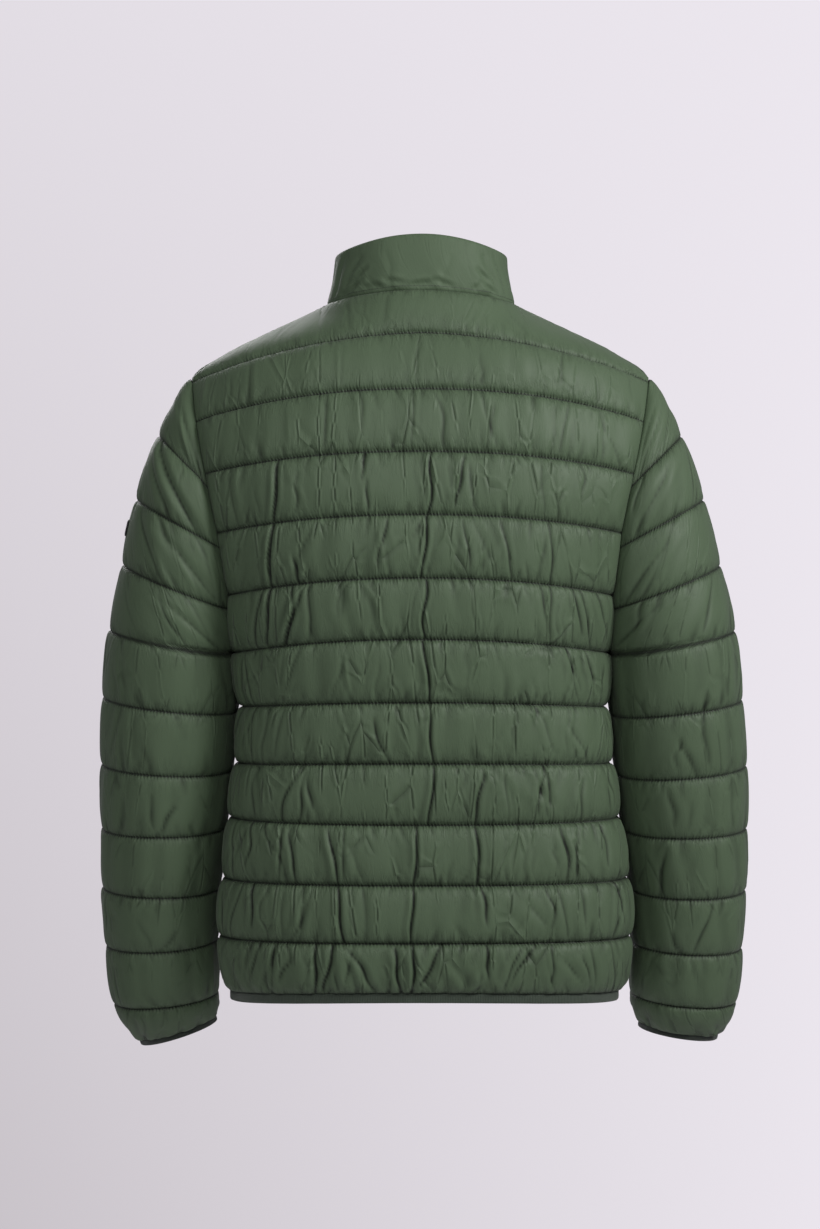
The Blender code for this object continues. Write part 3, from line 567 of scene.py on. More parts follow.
# Below the arms the cloth is also drawn into slanted folds towards the side seams
for k in range(5, BODY_LINES):
    these = np.flatnonzero((BODY_ROWS >= k) & (BODY_ROWS <= k + 1))
    f = (BODY_ROWS[these] - k)[:, None]
    for side in (-1, 1) * 5:
        start = side * rng.uniform(0.100, 0.215)
        back_relief[these] += crease(
            back_run[these], f, rng.choice([0.0, 0.0, 0.3]), rng.choice([0.7, 1.0]),
            start, start + side * rng.normal(0.009, 0.008),
            rng.uniform(0.0009, 0.0020), rng.uniform(0.0014, 0.0022), rng.normal(0, 0.0014),
            rng.uniform(0, 6.3),
        ) * np.where((f == 0) | (f == 1), 0.25, 1.0)

# The lower channels hang fuller
hang = 1 + 0.28 * np.clip((BODY_ROWS - 5) / 3, 0, 1)[:, None]
back_rise = (
    BODY_PUFF * hang * puffed(BODY_ROWS)[:, None] * seam_fall(back, ("first", "last"), 0.020)
)
# The yoke is flatter at its two outer corners
from_edge = run_along(back)
from_edge = np.minimum(from_edge, from_edge[:, -1:] - from_edge)
back_rise *= (
    1 - 0.55 * np.exp(-((from_edge / 0.045) ** 2)) * np.clip((2.2 - BODY_ROWS) / 0.8, 0, 1)[:, None]
)
back_edge_fall = seam_fall(back, ("first", "last"), 0.010)
back_relief = back_relief * back_edge_fall
back_skin = set_in(back) + back_out * (back_rise + back_relief)[..., None]
back_piece = quilted(
    "back_panel_quilted", back_skin,
    lining_of(set_in(back), back_out, BODY_ROWS, BODY_WALL, 0.0010),
    back_run, BODY_ROWS, green_nylon, hollow_shade_depths=hollowness(back, back_skin),
)
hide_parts("back_panel")
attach(back_piece, "jacket")


def thread_seam(name, paths, normals, material, pitch=0.0029, stitch=0.0022, thick=0.00042,
    sink=0.00005):
    """Lockstitches along sewn lines: small flat-ended threads that lie in the groove."""
    made = bmesh.new()
    for path, normal in zip(paths, normals):
        run = np.concatenate([[0], np.cumsum(np.linalg.norm(np.diff(path, axis=0), axis=1))])
        places = np.arange(pitch / 2, run[-1] - pitch / 2, pitch)
        for place in places:
            spots = [np.array([np.interp(place + o, run, path[:, c]) for c in range(3)])
                for o in (-0.0006, 0, 0.0006)]
            up = unit(np.array([np.interp(place, run, normal[:, c]) for c in range(3)]))
            ahead = unit(spots[2] - spots[0])
            across = np.cross(up, ahead)
            frame_of = Matrix(
                np.column_stack([ahead * stitch, across * thick, up * thick * 0.8]).tolist()
            ).to_4x4()
            frame_of.translation = Vector(spots[1] - up * sink)
            bmesh.ops.create_cube(made, size=1, matrix=frame_of)
    mesh = bpy.data.meshes.new(name)
    made.to_mesh(mesh)
    made.free()
    mesh.materials.append(material)
    piece = placed(name, mesh)
    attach(piece, "jacket")


# The thread is painted far darker than the cloth: painted shade of the groove it lies in
thread = bpy.data.materials.new("dark_green_thread")
thread.use_nodes = True
twist = node(thread.node_tree, "TexNoise",
    Vector=thread.node_tree.nodes.new("ShaderNodeTexCoord").outputs["Object"], Scale=900.0,
    Detail=1.0)
shaded_thread_colour = node(thread.node_tree, "Mix", [("data_type", "RGBA")], i0=twist.outputs[0],
    i6=(0.012, 0.018, 0.011, 1), i7=(0.032, 0.044, 0.028, 1))
thread_shader = thread.node_tree.nodes["Principled BSDF"]
thread.node_tree.links.new(shaded_thread_colour.outputs[2], thread_shader.inputs["Base Color"])
thread_shader.inputs["Roughness"].default_value = 0.55

line_rows = [int(np.argmin(np.abs(BODY_ROWS - k))) for k in range(1, BODY_LINES)]
thread_seam("back_stitching", [back_skin[i] for i in line_rows], [back_out[i] for i in line_rows],
    thread)

# --------------------------------------------------------------------------------
# Fronts
# Two quilted halves in the same channels as the back, joined to it at the shoulders
# and sides. Each ends on a zip tape, sewn down along its edge.
FRONT = {
    "z_mid": [-0.068, -0.092, -0.130, -0.180, -0.236, -0.294, -0.350, -0.404, -0.460, -0.515,
        -0.575, -0.631, -0.683],
    "y_mid": [-0.083, -0.092, -0.108, -0.120, -0.127, -0.130, -0.130, -0.129, -0.128, -0.128,
        -0.128, -0.127, -0.121],
    "y_edge": [0.0, -0.012, -0.036, -0.056, -0.058, -0.040, 0.004, 0.008, 0.010, 0.010, 0.010,
        0.010, 0.010],
}
ZIP_SLOT_HALF = 0.0070
EDGE_STITCHES = 0.0062  # from the front edge
FRONT_COLUMNS = 104
front_spread = even_spread(FRONT_COLUMNS)
fronts, front_skins, front_outs = {}, {}, {}
for side, panel, seed in ((1, "front_left", 21), (-1, "front_right", 22)):
    base = body_base(FRONT, side, front_spread, ZIP_SLOT_HALF, 1.3)
    base[UNDERARM:, -1] = side_seam(side)
    out = outward(base, base * [0, 0, 0.6] + [0, 0, -0.15])
    run = run_along(base)
    rng = np.random.default_rng(seed)
    folds = yoke * channel_folds(rng, run, BODY_ROWS, folds=30, slant=0.12)
    rise = (
        BODY_PUFF * hang * puffed(BODY_ROWS)[:, None]
        * seam_fall(base, ("last",), 0.020) * seam_fall(base, ("first",), 0.009)
    )
    folds = folds * seam_fall(base, ("first", "last"), 0.010)
    # A row of stitches beside the zip holds the edge down
    held_down = 1 - 0.55 * np.exp(-(((run - EDGE_STITCHES) / 0.0014) ** 2))
    skin = set_in(base) + out * ((rise + folds) * held_down)[..., None]
    piece = quilted(
        panel + "_quilted", skin, lining_of(set_in(base), out, BODY_ROWS, BODY_WALL, 0.0010),
        run, BODY_ROWS, green_nylon, hollow_shade_depths=0.45 * hollowness(base, skin),
    )
    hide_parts(panel)
    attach(piece, "jacket")
    fronts[side], front_skins[side], front_outs[side] = base, skin, out
    edge_column = int(np.argmin(np.abs(run[80] - EDGE_STITCHES)))
    thread_seam(
        panel + "_stitching",
        [skin[i] for i in line_rows] + [skin[2:-1, edge_column]],
        [out[i] for i in line_rows] + [out[2:-1, edge_column]],
        thread,
    )

# --------------------------------------------------------------------------------
# Sleeves
# One quilted width each, closed by a seam under the arm and set into the armhole.
# The padding is smoother than on the back, with slanted folds towards the body.
SLEEVE_BOTH = {
    "depth": [0.0125, 0.061, 0.070, 0.074, 0.076, 0.075, 0.073, 0.071, 0.067, 0.062, 0.057, 0.041],
    "y": [0.0, 0.0, -0.002, -0.005, -0.009, -0.015, -0.021, -0.028, -0.035, -0.041, -0.046, -0.048],
    "lean": [0, 0, 0.01, 0.05, 0.07, 0.08, 0.09, 0.09, 0.09, 0.09, 0.09, 0.06],
}
SLEEVE_LEFT = {
    "x_out": [0.2298, 0.2610, 0.2830, 0.2970, 0.3105, 0.3180, 0.3200, 0.3202, 0.3200, 0.3170,
        0.3095, 0.2850],
    "z_out": [-0.0788, -0.136, -0.200, -0.264, -0.329, -0.396, -0.463, -0.528, -0.588, -0.647,
        -0.706, -0.744],
    "x_in": [0.190, 0.190, 0.189, 0.188, 0.1860, 0.1845, 0.1900, 0.1965, 0.2035, 0.2060, 0.2060,
        0.2085],
    "z_in": [-0.11, -0.17, -0.23, -0.293, -0.352, -0.411, -0.470, -0.528, -0.590, -0.642, -0.696,
        -0.7205],
    **SLEEVE_BOTH,
}
SLEEVE_RIGHT = {
    "x_out": [0.2280, 0.2590, 0.2810, 0.2980, 0.3130, 0.3210, 0.3255, 0.3265, 0.3260, 0.3230,
        0.3175, 0.3010],
    "z_out": [-0.0788, -0.1365, -0.200, -0.265, -0.330, -0.399, -0.465, -0.528, -0.591, -0.650,
        -0.705, -0.738],
    "x_in": [0.184, 0.184, 0.184, 0.183, 0.1855, 0.1900, 0.1965, 0.2030, 0.2110, 0.2130, 0.2130,
        0.2215],
    "z_in": [-0.11, -0.17, -0.23, -0.293, -0.352, -0.414, -0.474, -0.530, -0.590, -0.644, -0.696,
        -0.726],
    **SLEEVE_BOTH,
}
SLEEVE_WALL = 0.0024
SLEEVE_PUFF = 0.0050
SLEEVE_LINES = 11
SLEEVE_COLUMNS = 200
# Where the first lines of a sleeve meet the armhole, in lines of the body
CAP_LINES = [0, 1, 2, 3, 4]
ARMHOLE_AT = [1, 3.25, 4.25, 5.25, UNDERARM_LINE]
# More rows than on the body, for the slanted folds
SLEEVE_STEPS = np.concatenate([[0, 0.028, 0.070], np.linspace(0.12, 0.93, 14), [0.972]])
SLEEVE_ROWS = np.append((np.arange(SLEEVE_LINES)[:, None] + SLEEVE_STEPS).ravel(), SLEEVE_LINES)
CAP_ROWS = int(np.argmin(np.abs(SLEEVE_ROWS - 4)))


def sleeve_base(table, side, back_edge, front_edge):
    """Arcs from the back of the armhole round the arm to its front, then rings."""
    table = {name: through(column, SLEEVE_ROWS) for name, column in table.items()}
    meets = np.interp(SLEEVE_ROWS, CAP_LINES, ARMHOLE_AT)
    half = SLEEVE_COLUMNS // 2
    rows = []
    for i in range(len(SLEEVE_ROWS)):
        depth, lean, y = table["depth"][i], table["lean"][i], table["y"][i]
        tip = np.array([side * table["x_out"][i], y, table["z_out"][i]])
        across = np.array([0.0, np.cos(lean), -np.sin(lean)]) * depth
        arcs = []
        for sign, edge in ((1, back_edge), (-1, front_edge)):
            alpha = np.pi
            if i <= CAP_ROWS:
                end = np.array([np.interp(meets[i], BODY_ROWS, edge[:, c]) for c in range(3)])
                if i < CAP_ROWS:
                    alpha -= np.arcsin(min(abs(end[1] - y) / depth, 1.0))
            else:
                end = np.array([side * table["x_in"][i], y, table["z_in"][i]])
            inward = (tip - end) / (1 - np.cos(alpha))
            inward[1] = 0
            turn = alpha * np.arange(half + 1) / half
            arc = tip + inward * (np.cos(turn)[:, None] - 1) + sign * across * np.sin(turn)[:, None]
            arcs.append(arc + (end - arc[-1]) * (turn / alpha)[:, None] ** 2)
        rows.append(np.concatenate([arcs[0][::-1], arcs[1][1:]]))
    return np.array(rows)


# Deep folds of the two sleeves, as for the back: start and end are shares of the way round,
# from the back of the armhole (0) over the outer side (0.5) to the front (1)
SLEEVE_CREASES = {
    "side": [1, 1, 1, 1, 1, 1, -1, -1, -1, -1, -1, 1, -1],
    "channel": [1, 1, 0, 2, 3, 6, 1, 2, 0, 3, 5, 8, 8],
    "top": [0.0, 0.3, 0.35, 0.2, 0.3, 0.5, 0.2, 0.3, 0.4, 0.2, 0.4, 0.6, 0.6],
    "foot": [1.0, 1.0, 1.0, 0.9, 0.9, 1.0, 0.9, 1.0, 1.0, 0.8, 1.0, 1.0, 1.0],
    "start": [0.30, 0.33, 0.20, 0.22, 0.20, 0.22, 0.20, 0.18, 0.22, 0.16, 0.24, 0.20, 0.20],
    "end": [0.10, 0.22, 0.06, 0.08, 0.10, 0.25, 0.08, 0.07, 0.10, 0.08, 0.27, 0.24, 0.22],
    "deep": [3.6, 2.0, 2.0, 2.0, 1.8, 1.3, 1.8, 1.8, 1.6, 1.4, 1.3, 1.3, 1.3],
    "wide": [4.4, 3.8, 4.0, 4.4, 4.0, 2.8, 4.0, 4.0, 3.6, 3.6, 2.8, 2.8, 2.8],
    "bend": [1.5, 1.5, 1.0, 1.5, 1.5, 1.0, 1.5, 1.5, 1.0, 1.5, 1.0, 1.0, 1.0],
}
sleeve_turn = np.linspace(0, 1, SLEEVE_COLUMNS + 1)
sleeves, sleeve_skins, sleeve_outs = {}, {}, {}
for side, table, panel, seed in ((1, SLEEVE_LEFT, "sleeve_left", 31),
    (-1, SLEEVE_RIGHT, "sleeve_right", 32)):
    base = sleeve_base(table, side, back[:, -1 if side > 0 else 0], fronts[side][:, -1])
    out = outward(base, base.mean(axis=1, keepdims=True), CAP_ROWS)
    out[CAP_ROWS, -1] = out[CAP_ROWS, 0]
    out[0] = back_out[0, -1 if side > 0 else 0]
    run = run_along(base)
    rng = np.random.default_rng(seed)
    folds = channel_folds(rng, run, SLEEVE_ROWS, pitch=0.011, depth=0.0008, slant=-0.15,
        length=0.009, folds=18, soft=0.0010)
    for own_side, k, top, foot, start, end, deep, wide, bend in zip(*SLEEVE_CREASES.values()):
        if own_side == side:
            these = np.flatnonzero((SLEEVE_ROWS >= k) & (SLEEVE_ROWS <= k + 1))
            f = (SLEEVE_ROWS[these] - k)[:, None]
            whole = run[these[len(these) // 2], -1]
            folds[these] += crease(
                run[these], f, top, foot, start * whole, end * whole,
                deep / 1000, wide / 1000, bend / 1000, k,
            ) * np.where((f == 0) | (f == 1), 0.3, 1.0)
    rise = SLEEVE_PUFF * puffed(SLEEVE_ROWS)[:, None] * np.ones(run.shape)
    rise[:CAP_ROWS] *= seam_fall(base, ("first", "last"), 0.022)[:CAP_ROWS]
    rise[CAP_ROWS:] *= 1 - 0.62 * np.exp(-((np.minimum(sleeve_turn, 1 - sleeve_turn) / 0.10) ** 2))
    rise *= 1 - 0.40 * np.exp(-(((sleeve_turn - 0.5) / 0.09) ** 2))
    near_seam = seam_fall(base, ("first", "last"), 0.010)
    fade_top = np.clip(SLEEVE_ROWS / 0.5, 0, 1)[:, None]
    folds = folds * near_seam * fade_top
    lift = rise + folds
    lift[CAP_ROWS:, -1] = lift[CAP_ROWS:, 0]
    skin = set_in(base, CAP_ROWS) + out * lift[..., None]
    piece = quilted(
        panel + "_quilted", skin,
        lining_of(set_in(base, CAP_ROWS), out, SLEEVE_ROWS, SLEEVE_WALL, 0.0010, CAP_ROWS),
        run, SLEEVE_ROWS, smoother_nylon, CAP_ROWS, hollowness(base, skin),
    )
    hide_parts(panel)
    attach(piece, "jacket")
    sleeves[side], sleeve_skins[side], sleeve_outs[side] = base, skin, out
    rings = [int(np.argmin(np.abs(SLEEVE_ROWS - k))) for k in range(1, SLEEVE_LINES)]
    thread_seam(panel + "_stitching", [skin[i] for i in rings], [out[i] for i in rings], thread)

# --------------------------------------------------------------------------------
# Collar
# A stand collar of one padded strip, folded over at the top and sewn to the neck
# seam. It is unquilted, and its two back corners are pressed into slanted folds.
COLLAR_WALL = 0.0040
COLLAR_PUFF = 0.0040
COLLAR_HEIGHT_BACK = 0.053
COLLAR_COLUMNS = {"front": 90, "back": 200}
front_part = np.linspace(0, NECK_SPREAD, COLLAR_COLUMNS["front"])
back_part = np.linspace(-NECK_SPREAD, NECK_SPREAD, COLLAR_COLUMNS["back"] + 1)
neck_back = np.concatenate([
    body_line(0, np.abs(back_part[back_part < 0]), BACK, -1, 0.0, 2.0),
    body_line(0, back_part[back_part >= 0], BACK, 1, 0.0, 2.0),
])
neck = np.concatenate([
    body_line(0, front_part, FRONT, -1, ZIP_SLOT_HALF, 1.3)[:-1], neck_back,
    body_line(0, front_part[::-1], FRONT, 1, ZIP_SLOT_HALF, 1.3)[1:],
])
# The seam runs on evenly, so the strip's columns are spaced by length
neck_run = np.concatenate([[0], np.cumsum(np.linalg.norm(np.diff(neck, axis=0), axis=1))])
even = np.linspace(0, neck_run[-1], len(neck))
neck = np.stack([np.interp(even, neck_run, neck[:, c]) for c in range(3)], axis=1)
from_zip = np.clip(np.minimum(even, even[-1] - even) / 0.020, 0, 1)
COLLAR_ROWS = np.concatenate([np.linspace(0, 0.93, 28), [0.950, 0.966, 0.979, 0.989, 0.996, 1.0]])
angle = np.arctan2(neck[:, 0], neck[:, 1] + 0.012)
top = neck.copy()
top[:, 0] = neck[:, 0] * (1 - 0.105 * np.abs(np.sin(angle)) ** 0.5 * from_zip)
top[:, 1] = neck[:, 1] - 0.008 * np.clip(np.cos(angle), 0, 1)
top[:, 2] = neck[:, 2] + COLLAR_HEIGHT_BACK + 0.003 * np.cos(2 * angle)
collar = neck + (top - neck) * COLLAR_ROWS[:, None, None]
collar[:, :, 0] -= (
    0.004 * np.sin(np.pi * COLLAR_ROWS)[:, None] * np.sign(neck[:, 0]) * np.abs(np.sin(angle))
    * from_zip
)
collar = collar + [0, 0, 0.0005]
collar_out = outward(collar, np.array([0, -0.012, 0]))
collar_run = run_along(collar)
rng = np.random.default_rng(41)
high = COLLAR_ROWS[:, None]
fold_over = np.sqrt(np.clip(1 - (np.clip(high - 0.93, 0, 1) / 0.07) ** 2, 0, 1))
collar_rise = (
    COLLAR_PUFF * np.sin(np.pi * np.clip(high * 0.86, 0, 1)) ** 0.6
    * seam_fall(collar, ("first", "last"), 0.010)
)
collar_folds = 0.5 * pucker_row(
    rng, collar_run, COLLAR_HEIGHT_BACK * high + 0 * collar_run, 0.012, 0.0008, 0.1, 0.014
)
middle = collar_run[:, len(neck) // 2 : len(neck) // 2 + 1]
# Slanted folds at the two back corners, in metres from the middle of the back
COLLAR_FOLDS = {
    "start": [0.088, 0.078, 0.098, -0.086, -0.076, -0.096, 0.030, -0.020, 0.120, -0.125],
    "end": [0.062, 0.060, 0.080, -0.064, -0.058, -0.078, 0.034, -0.028, 0.105, -0.110],
    "top": [0.0, 0.0, 0.1, 0.0, 0.0, 0.1, 0.1, 0.0, 0.0, 0.0],
    "foot": [0.72, 0.45, 0.9, 0.75, 0.5, 0.9, 0.7, 0.6, 0.8, 0.8],
    "deep": [2.0, 1.3, 1.4, 2.0, 1.3, 1.4, 0.7, 0.7, 1.0, 1.0],
}
for start, end, low_at, high_at, deep in zip(*COLLAR_FOLDS.values()):
    collar_folds += crease(collar_run - middle, high, low_at, high_at, start, end, deep / 1000,
        0.0030, 0.0012, start * 40)
# Short folds that lie nearly flat on the neck seam: both ends as metres along and up
SEAM_FOLDS = {
    "from": [(-0.030, 0.004), (-0.012, 0.007), (0.016, 0.006), (0.030, 0.003), (0.084, 0.003),
        (0.080, 0.011), (-0.082, 0.003), (-0.078, 0.010), (0.052, 0.004), (-0.052, 0.004)],
    "to": [(-0.012, 0.010), (0.012, 0.004), (0.034, 0.010), (0.052, 0.008), (0.060, 0.015),
        (0.055, 0.026), (-0.060, 0.013), (-0.056, 0.024), (0.060, 0.010), (-0.060, 0.009)],
    "deep": [2.0, 2.2, 1.8, 1.4, 2.6, 1.8, 2.6, 1.8, 1.3, 1.3],
}
up_collar = COLLAR_HEIGHT_BACK * high
for (a, low_end), (b, high_end), deep in zip(*SEAM_FOLDS.values()):
    along = (collar_run - middle - a) * (b - a) + (up_collar - low_end) * (high_end - low_end)
    t = np.clip(along / ((b - a) ** 2 + (high_end - low_end) ** 2), 0, 1)
    x = np.hypot(collar_run - middle - a - t * (b - a),
        up_collar - low_end - t * (high_end - low_end)) / 0.0021
    collar_folds += (
        deep / 1000 * np.sin(np.pi * (0.1 + 0.8 * t))
        * (0.5 * np.exp(-((x - 2.2) ** 2)) - np.exp(-(x**1.3)))
    )
collar_wave = sum(
    np.sin(
        2 * np.pi * collar_run / rng.uniform(0.04, 0.11) + rng.uniform(-2, 2) * high
        + rng.uniform(0, 6.3)
    ) for _ in range(5)
)
calm = np.clip(high / 0.08, 0, 1) * seam_fall(collar, ("first", "last"), 0.008)
collar_lift = (
    np.maximum(collar_rise + (collar_folds + 0.0003 * collar_wave) * calm, 0.0) * fold_over
)
collar_base = set_in(collar)
# The seam allowance is tucked in behind the panels, so no light comes through
collar_base[0] += [0, 0, -0.0020] - 0.0006 * collar_out[0]
collar_skin = collar_base + collar_out * collar_lift[..., None]
collar_in = collar_base - collar_out * (
    (0.0010 + (COLLAR_WALL - 0.0010) * np.clip(high / 0.1, 0, 1)) * fold_over
)[..., None]
collar_nylon = nylon("collar_nylon", GREEN, rough=0.62, ticks=0.0003, creases=0.0004,
    crinkles=0.0008)
collar_piece = quilted("collar_padded", collar_skin, collar_in, collar_run,
    COLLAR_ROWS * 0.7 + 0.15, collar_nylon)
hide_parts("collar")
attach(collar_piece, "jacket")
thread_seam("collar_stitching", [collar_skin[2]], [collar_out[2]], thread)

# --------------------------------------------------------------------------------
# Hem binding
# A narrow ribbed stretch band round the hem, folded double and open at the zip. Its
# ends are joined near the middle of the back.
HEM_HEIGHT = 0.0100
HEM_THICK = 0.0034


def strip(name, rings, closed, run, material):
    """A folded band: the same rounded section carried along a path."""
    count, width = rings.shape[:2]
    made = bmesh.new()
    first = [made.verts.new(point) for point in rings[0]]
    edges = [made.edges.new((a, b)) for a, b in zip(first, first[1:] + first[:1])]
    place = {vert: (0, j) for j, vert in enumerate(first)}
    if not closed:
        made.faces.new(first)
    ring, verts = edges, first
    for i in range(1, count):
        grown = bmesh.ops.extrude_edge_only(made, edges=ring)["geom"]
        new = {v for v in grown if isinstance(v, bmesh.types.BMVert)}
        follow = [next(e.other_vert(v) for e in v.link_edges if e.other_vert(v) in new)
            for v in verts]
        for j, vert in enumerate(follow):
            vert.co = rings[i, j]
            place[vert] = (i, j)
        ring = [made.edges.get((a, b)) for a, b in zip(follow, follow[1:] + follow[:1])]
        verts = follow
    if closed:
        bmesh.ops.bridge_loops(made, edges=ring + edges)
    else:
        made.faces.new(verts)
    bmesh.ops.recalc_face_normals(made, faces=made.faces[:])
    made.verts.index_update()
    spots = np.array([place[v] for v in made.verts])
    mesh = bpy.data.meshes.new(name)
    made.to_mesh(mesh)
    made.free()
    corner, start = np.zeros(len(mesh.loops), int), np.zeros(len(mesh.polygons), int)
    mesh.loops.foreach_get("vertex_index", corner)
    mesh.polygons.foreach_get("loop_start", start)
    along = run[spots[corner, 0]]
    if closed:
        face = np.zeros(len(corner), int)
        face[start[1:]] = 1
        most = np.maximum.reduceat(along, start)[np.cumsum(face)]
        along = np.where(most - along > run[-1] / 2, along + run[-1] + run[1], along)
    layer = mesh.uv_layers.new(name="quilt")
    layer.data.foreach_set("uv", np.stack([along, spots[corner, 1] / width], axis=1).ravel())
    mesh.polygons.foreach_set("use_smooth", np.ones(len(mesh.polygons), bool))
    mesh.materials.append(material)
    return placed(name, mesh)


def folded_section(edge, outer, down, height, thick, proud, points=12, crown=0.0006):
    """The rounded section of a binding at each place of an edge."""
    turn = np.linspace(0, 2 * np.pi, points, endpoint=False) + np.pi / points
    boxy = lambda v, power: np.sign(v) * np.abs(v) ** power
    over, under = boxy(np.cos(turn), 0.5), boxy(np.sin(turn), 0.45)
    middle = edge + outer * (proud - thick / 2) + down * (height / 2 - 0.0007)
    return (
        middle[:, None] + outer[:, None] * (over * thick / 2)[None, :, None]
        - down[:, None] * (under * height / 2)[None, :, None]
    )


def rib_knit(name, colour, pitch, deep, rough=0.72):
    """Elastic rib: fine upright ribs with a soft, dull surface, and painted shade in the hollows
    between them.
    """
    made = bpy.data.materials.new(name)
    made.use_nodes = True
    tree = made.node_tree
    shader = tree.nodes["Principled BSDF"]
    place = tree.nodes.new("ShaderNodeTexCoord").outputs["Object"]
    across = node(tree, "SeparateXYZ",
        Vector=node(tree, "UVMap", [("uv_map", "quilt")]).outputs[0]).outputs[0]
    fuzz = node(tree, "TexNoise", Vector=place, Scale=1400.0, Detail=2.0)
    patches = node(tree, "TexNoise", Vector=place, Scale=30.0, Detail=2.0)
    rib = maths(tree, "SINE", maths(tree, "MULTIPLY", across, 6.28318 / pitch))
    height = maths(tree, "MULTIPLY_ADD", rib, deep,
        maths(tree, "MULTIPLY", fuzz.outputs[0], 0.00015))
    bump = node(tree, "Bump", Strength=1.0, Distance=1.0, Height=height)
    tree.links.new(bump.outputs[0], shader.inputs["Normal"])
    # Painted shade: each rib is darker in its hollow and lighter on its crest; the patches are
    # random tone
    tone = maths(tree, "ADD", maths(tree, "MULTIPLY_ADD", rib, 0.10, 0.72),
        maths(tree, "MULTIPLY", patches.outputs[0], 0.3))
    paint = node(tree, "Mix", [("data_type", "RGBA")], i0=tone, i6=(0, 0, 0, 1), i7=(*colour, 1))
    tree.links.new(paint.outputs[2], shader.inputs["Base Color"])
    shader.inputs["Roughness"].default_value = rough
    shader.inputs["Sheen Weight"].default_value = 0.2
    shader.inputs["Sheen Roughness"].default_value = 0.5
    return made


hem_edge = np.concatenate([fronts[-1][-1, :-1], back[-1], fronts[1][-1, -2::-1]])
hem_outer = np.concatenate([front_outs[-1][-1, :-1], back_out[-1], front_outs[1][-1, -2::-1]])
hem_run = np.concatenate([[0], np.cumsum(np.linalg.norm(np.diff(hem_edge, axis=0), axis=1))])
even = np.linspace(0, hem_run[-1], 560)
hem_edge, hem_outer = (
    np.stack([np.interp(even, hem_run, a[:, c]) for c in range(3)], axis=1)
    for a in (hem_edge, hem_outer)
)
hem_outer = unit(hem_outer * [1, 1, 0])
down = np.tile([0, 0, -1.0], (len(even), 1))
rng = np.random.default_rng(51)
uneven = sum(
    np.sin(2 * np.pi * even / rng.uniform(0.015, 0.06) + rng.uniform(0, 6.3)) for _ in range(5)
)[:, None] * 0.00012
# The band's ends are sewn together here, a little towards the wearer's left
hem_join = np.exp(-(((hem_edge[:, 0] - 0.019) / 0.0011) ** 2)) * (hem_edge[:, 1] > 0)
hem_section = folded_section(hem_edge + hem_outer * (uneven - 0.0009 * hem_join[:, None]),
    hem_outer, down, HEM_HEIGHT, HEM_THICK, 0.0008)
hem_piece = strip("hem_binding_ribbed", hem_section, False, even,
    rib_knit("green_rib", (0.047, 0.068, 0.045), 0.0016, 0.00016))
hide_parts("hem_binding")
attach(hem_piece, "jacket")

# --------------------------------------------------------------------------------
# Cuff bindings
# A narrow dark elastic band at each wrist, sewn to the gathered end of the sleeve.
CUFF_HEIGHT = 0.0060
CUFF_THICK = 0.0030
dark_rib = rib_knit("dark_rib", (0.022, 0.031, 0.022), 0.0014, 0.00014)
for side, panel in ((1, "cuff_binding_left"), (-1, "cuff_binding_right")):
    ring = sleeves[side][-1, :-1]
    quarter = len(ring) // 4
    low = unit(np.cross(ring[quarter] - ring[0], ring[2 * quarter] - ring[0]))
    low = low * -np.sign(low[2])
    outer = unit(ring - ring.mean(axis=0))
    outer = unit(outer - (outer @ low)[:, None] * low)
    run = np.concatenate([[0], np.cumsum(np.linalg.norm(np.diff(ring, axis=0), axis=1))])
    section = folded_section(ring, outer, np.tile(low, (len(ring), 1)), CUFF_HEIGHT, CUFF_THICK,
        0.0006)
    piece = strip(panel + "_ribbed", section, True, run, dark_rib)
    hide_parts(panel)
    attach(piece, "jacket")
    whole = run[-1] + np.linalg.norm(ring[0] - ring[-1])

# --------------------------------------------------------------------------------
# Zip
# Two woven tapes sewn behind the front edges, moulded teeth that lock down the
# middle, and a lacquered metal slider with a pull tab that hangs from its bridge.
CHAIN_THICK = 0.0024
TAPE_THICK = 0.0010
TOOTH_PITCH = 0.0026
chain_low, chain_high = (np.array(p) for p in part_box("zip_chain"))
tape_low, tape_high = (np.array(p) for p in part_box("zip_tape_left"))
edge_z = np.concatenate([fronts[1][:, 0, 2][::-1], collar[1:, -1, 2]])
edge_y = np.concatenate([fronts[1][:, 0, 1][::-1], collar[1:, -1, 1]])


def tape_y(z):
    """The depth of the tape's face behind the front edges."""
    slack = np.interp(z, [-0.075, -0.062], [0, COLLAR_WALL - BODY_WALL])
    return np.interp(z, edge_z, edge_y) + BODY_WALL + 0.0030 + slack


def plain_material(name, base, rough, metal=0.0, grain=600.0, deep=0.00004, vary=0.25):
    made = bpy.data.materials.new(name)
    made.use_nodes = True
    tree = made.node_tree
    shader = tree.nodes["Principled BSDF"]
    place = tree.nodes.new("ShaderNodeTexCoord").outputs["Object"]
    speck = node(tree, "TexNoise", Vector=place, Scale=grain, Detail=2.0)
    cloud = node(tree, "TexNoise", Vector=place, Scale=60.0, Detail=3.0)
    bump = node(tree, "Bump", Strength=1.0, Distance=1.0,
        Height=maths(tree, "MULTIPLY", speck.outputs[0], deep))
    tree.links.new(bump.outputs[0], shader.inputs["Normal"])
    tone = maths(tree, "MULTIPLY_ADD", cloud.outputs[0], vary, 1 - vary / 2)
    paint = node(tree, "Mix", [("data_type", "RGBA")], i0=tone, i6=(0, 0, 0, 1), i7=(*base, 1))
    tree.links.new(paint.outputs[2], shader.inputs["Base Color"])
    tree.links.new(maths(tree, "MULTIPLY_ADD", cloud.outputs[0], 0.2, rough - 0.1),
        shader.inputs["Roughness"])
    shader.inputs["Metallic"].default_value = metal
    return made


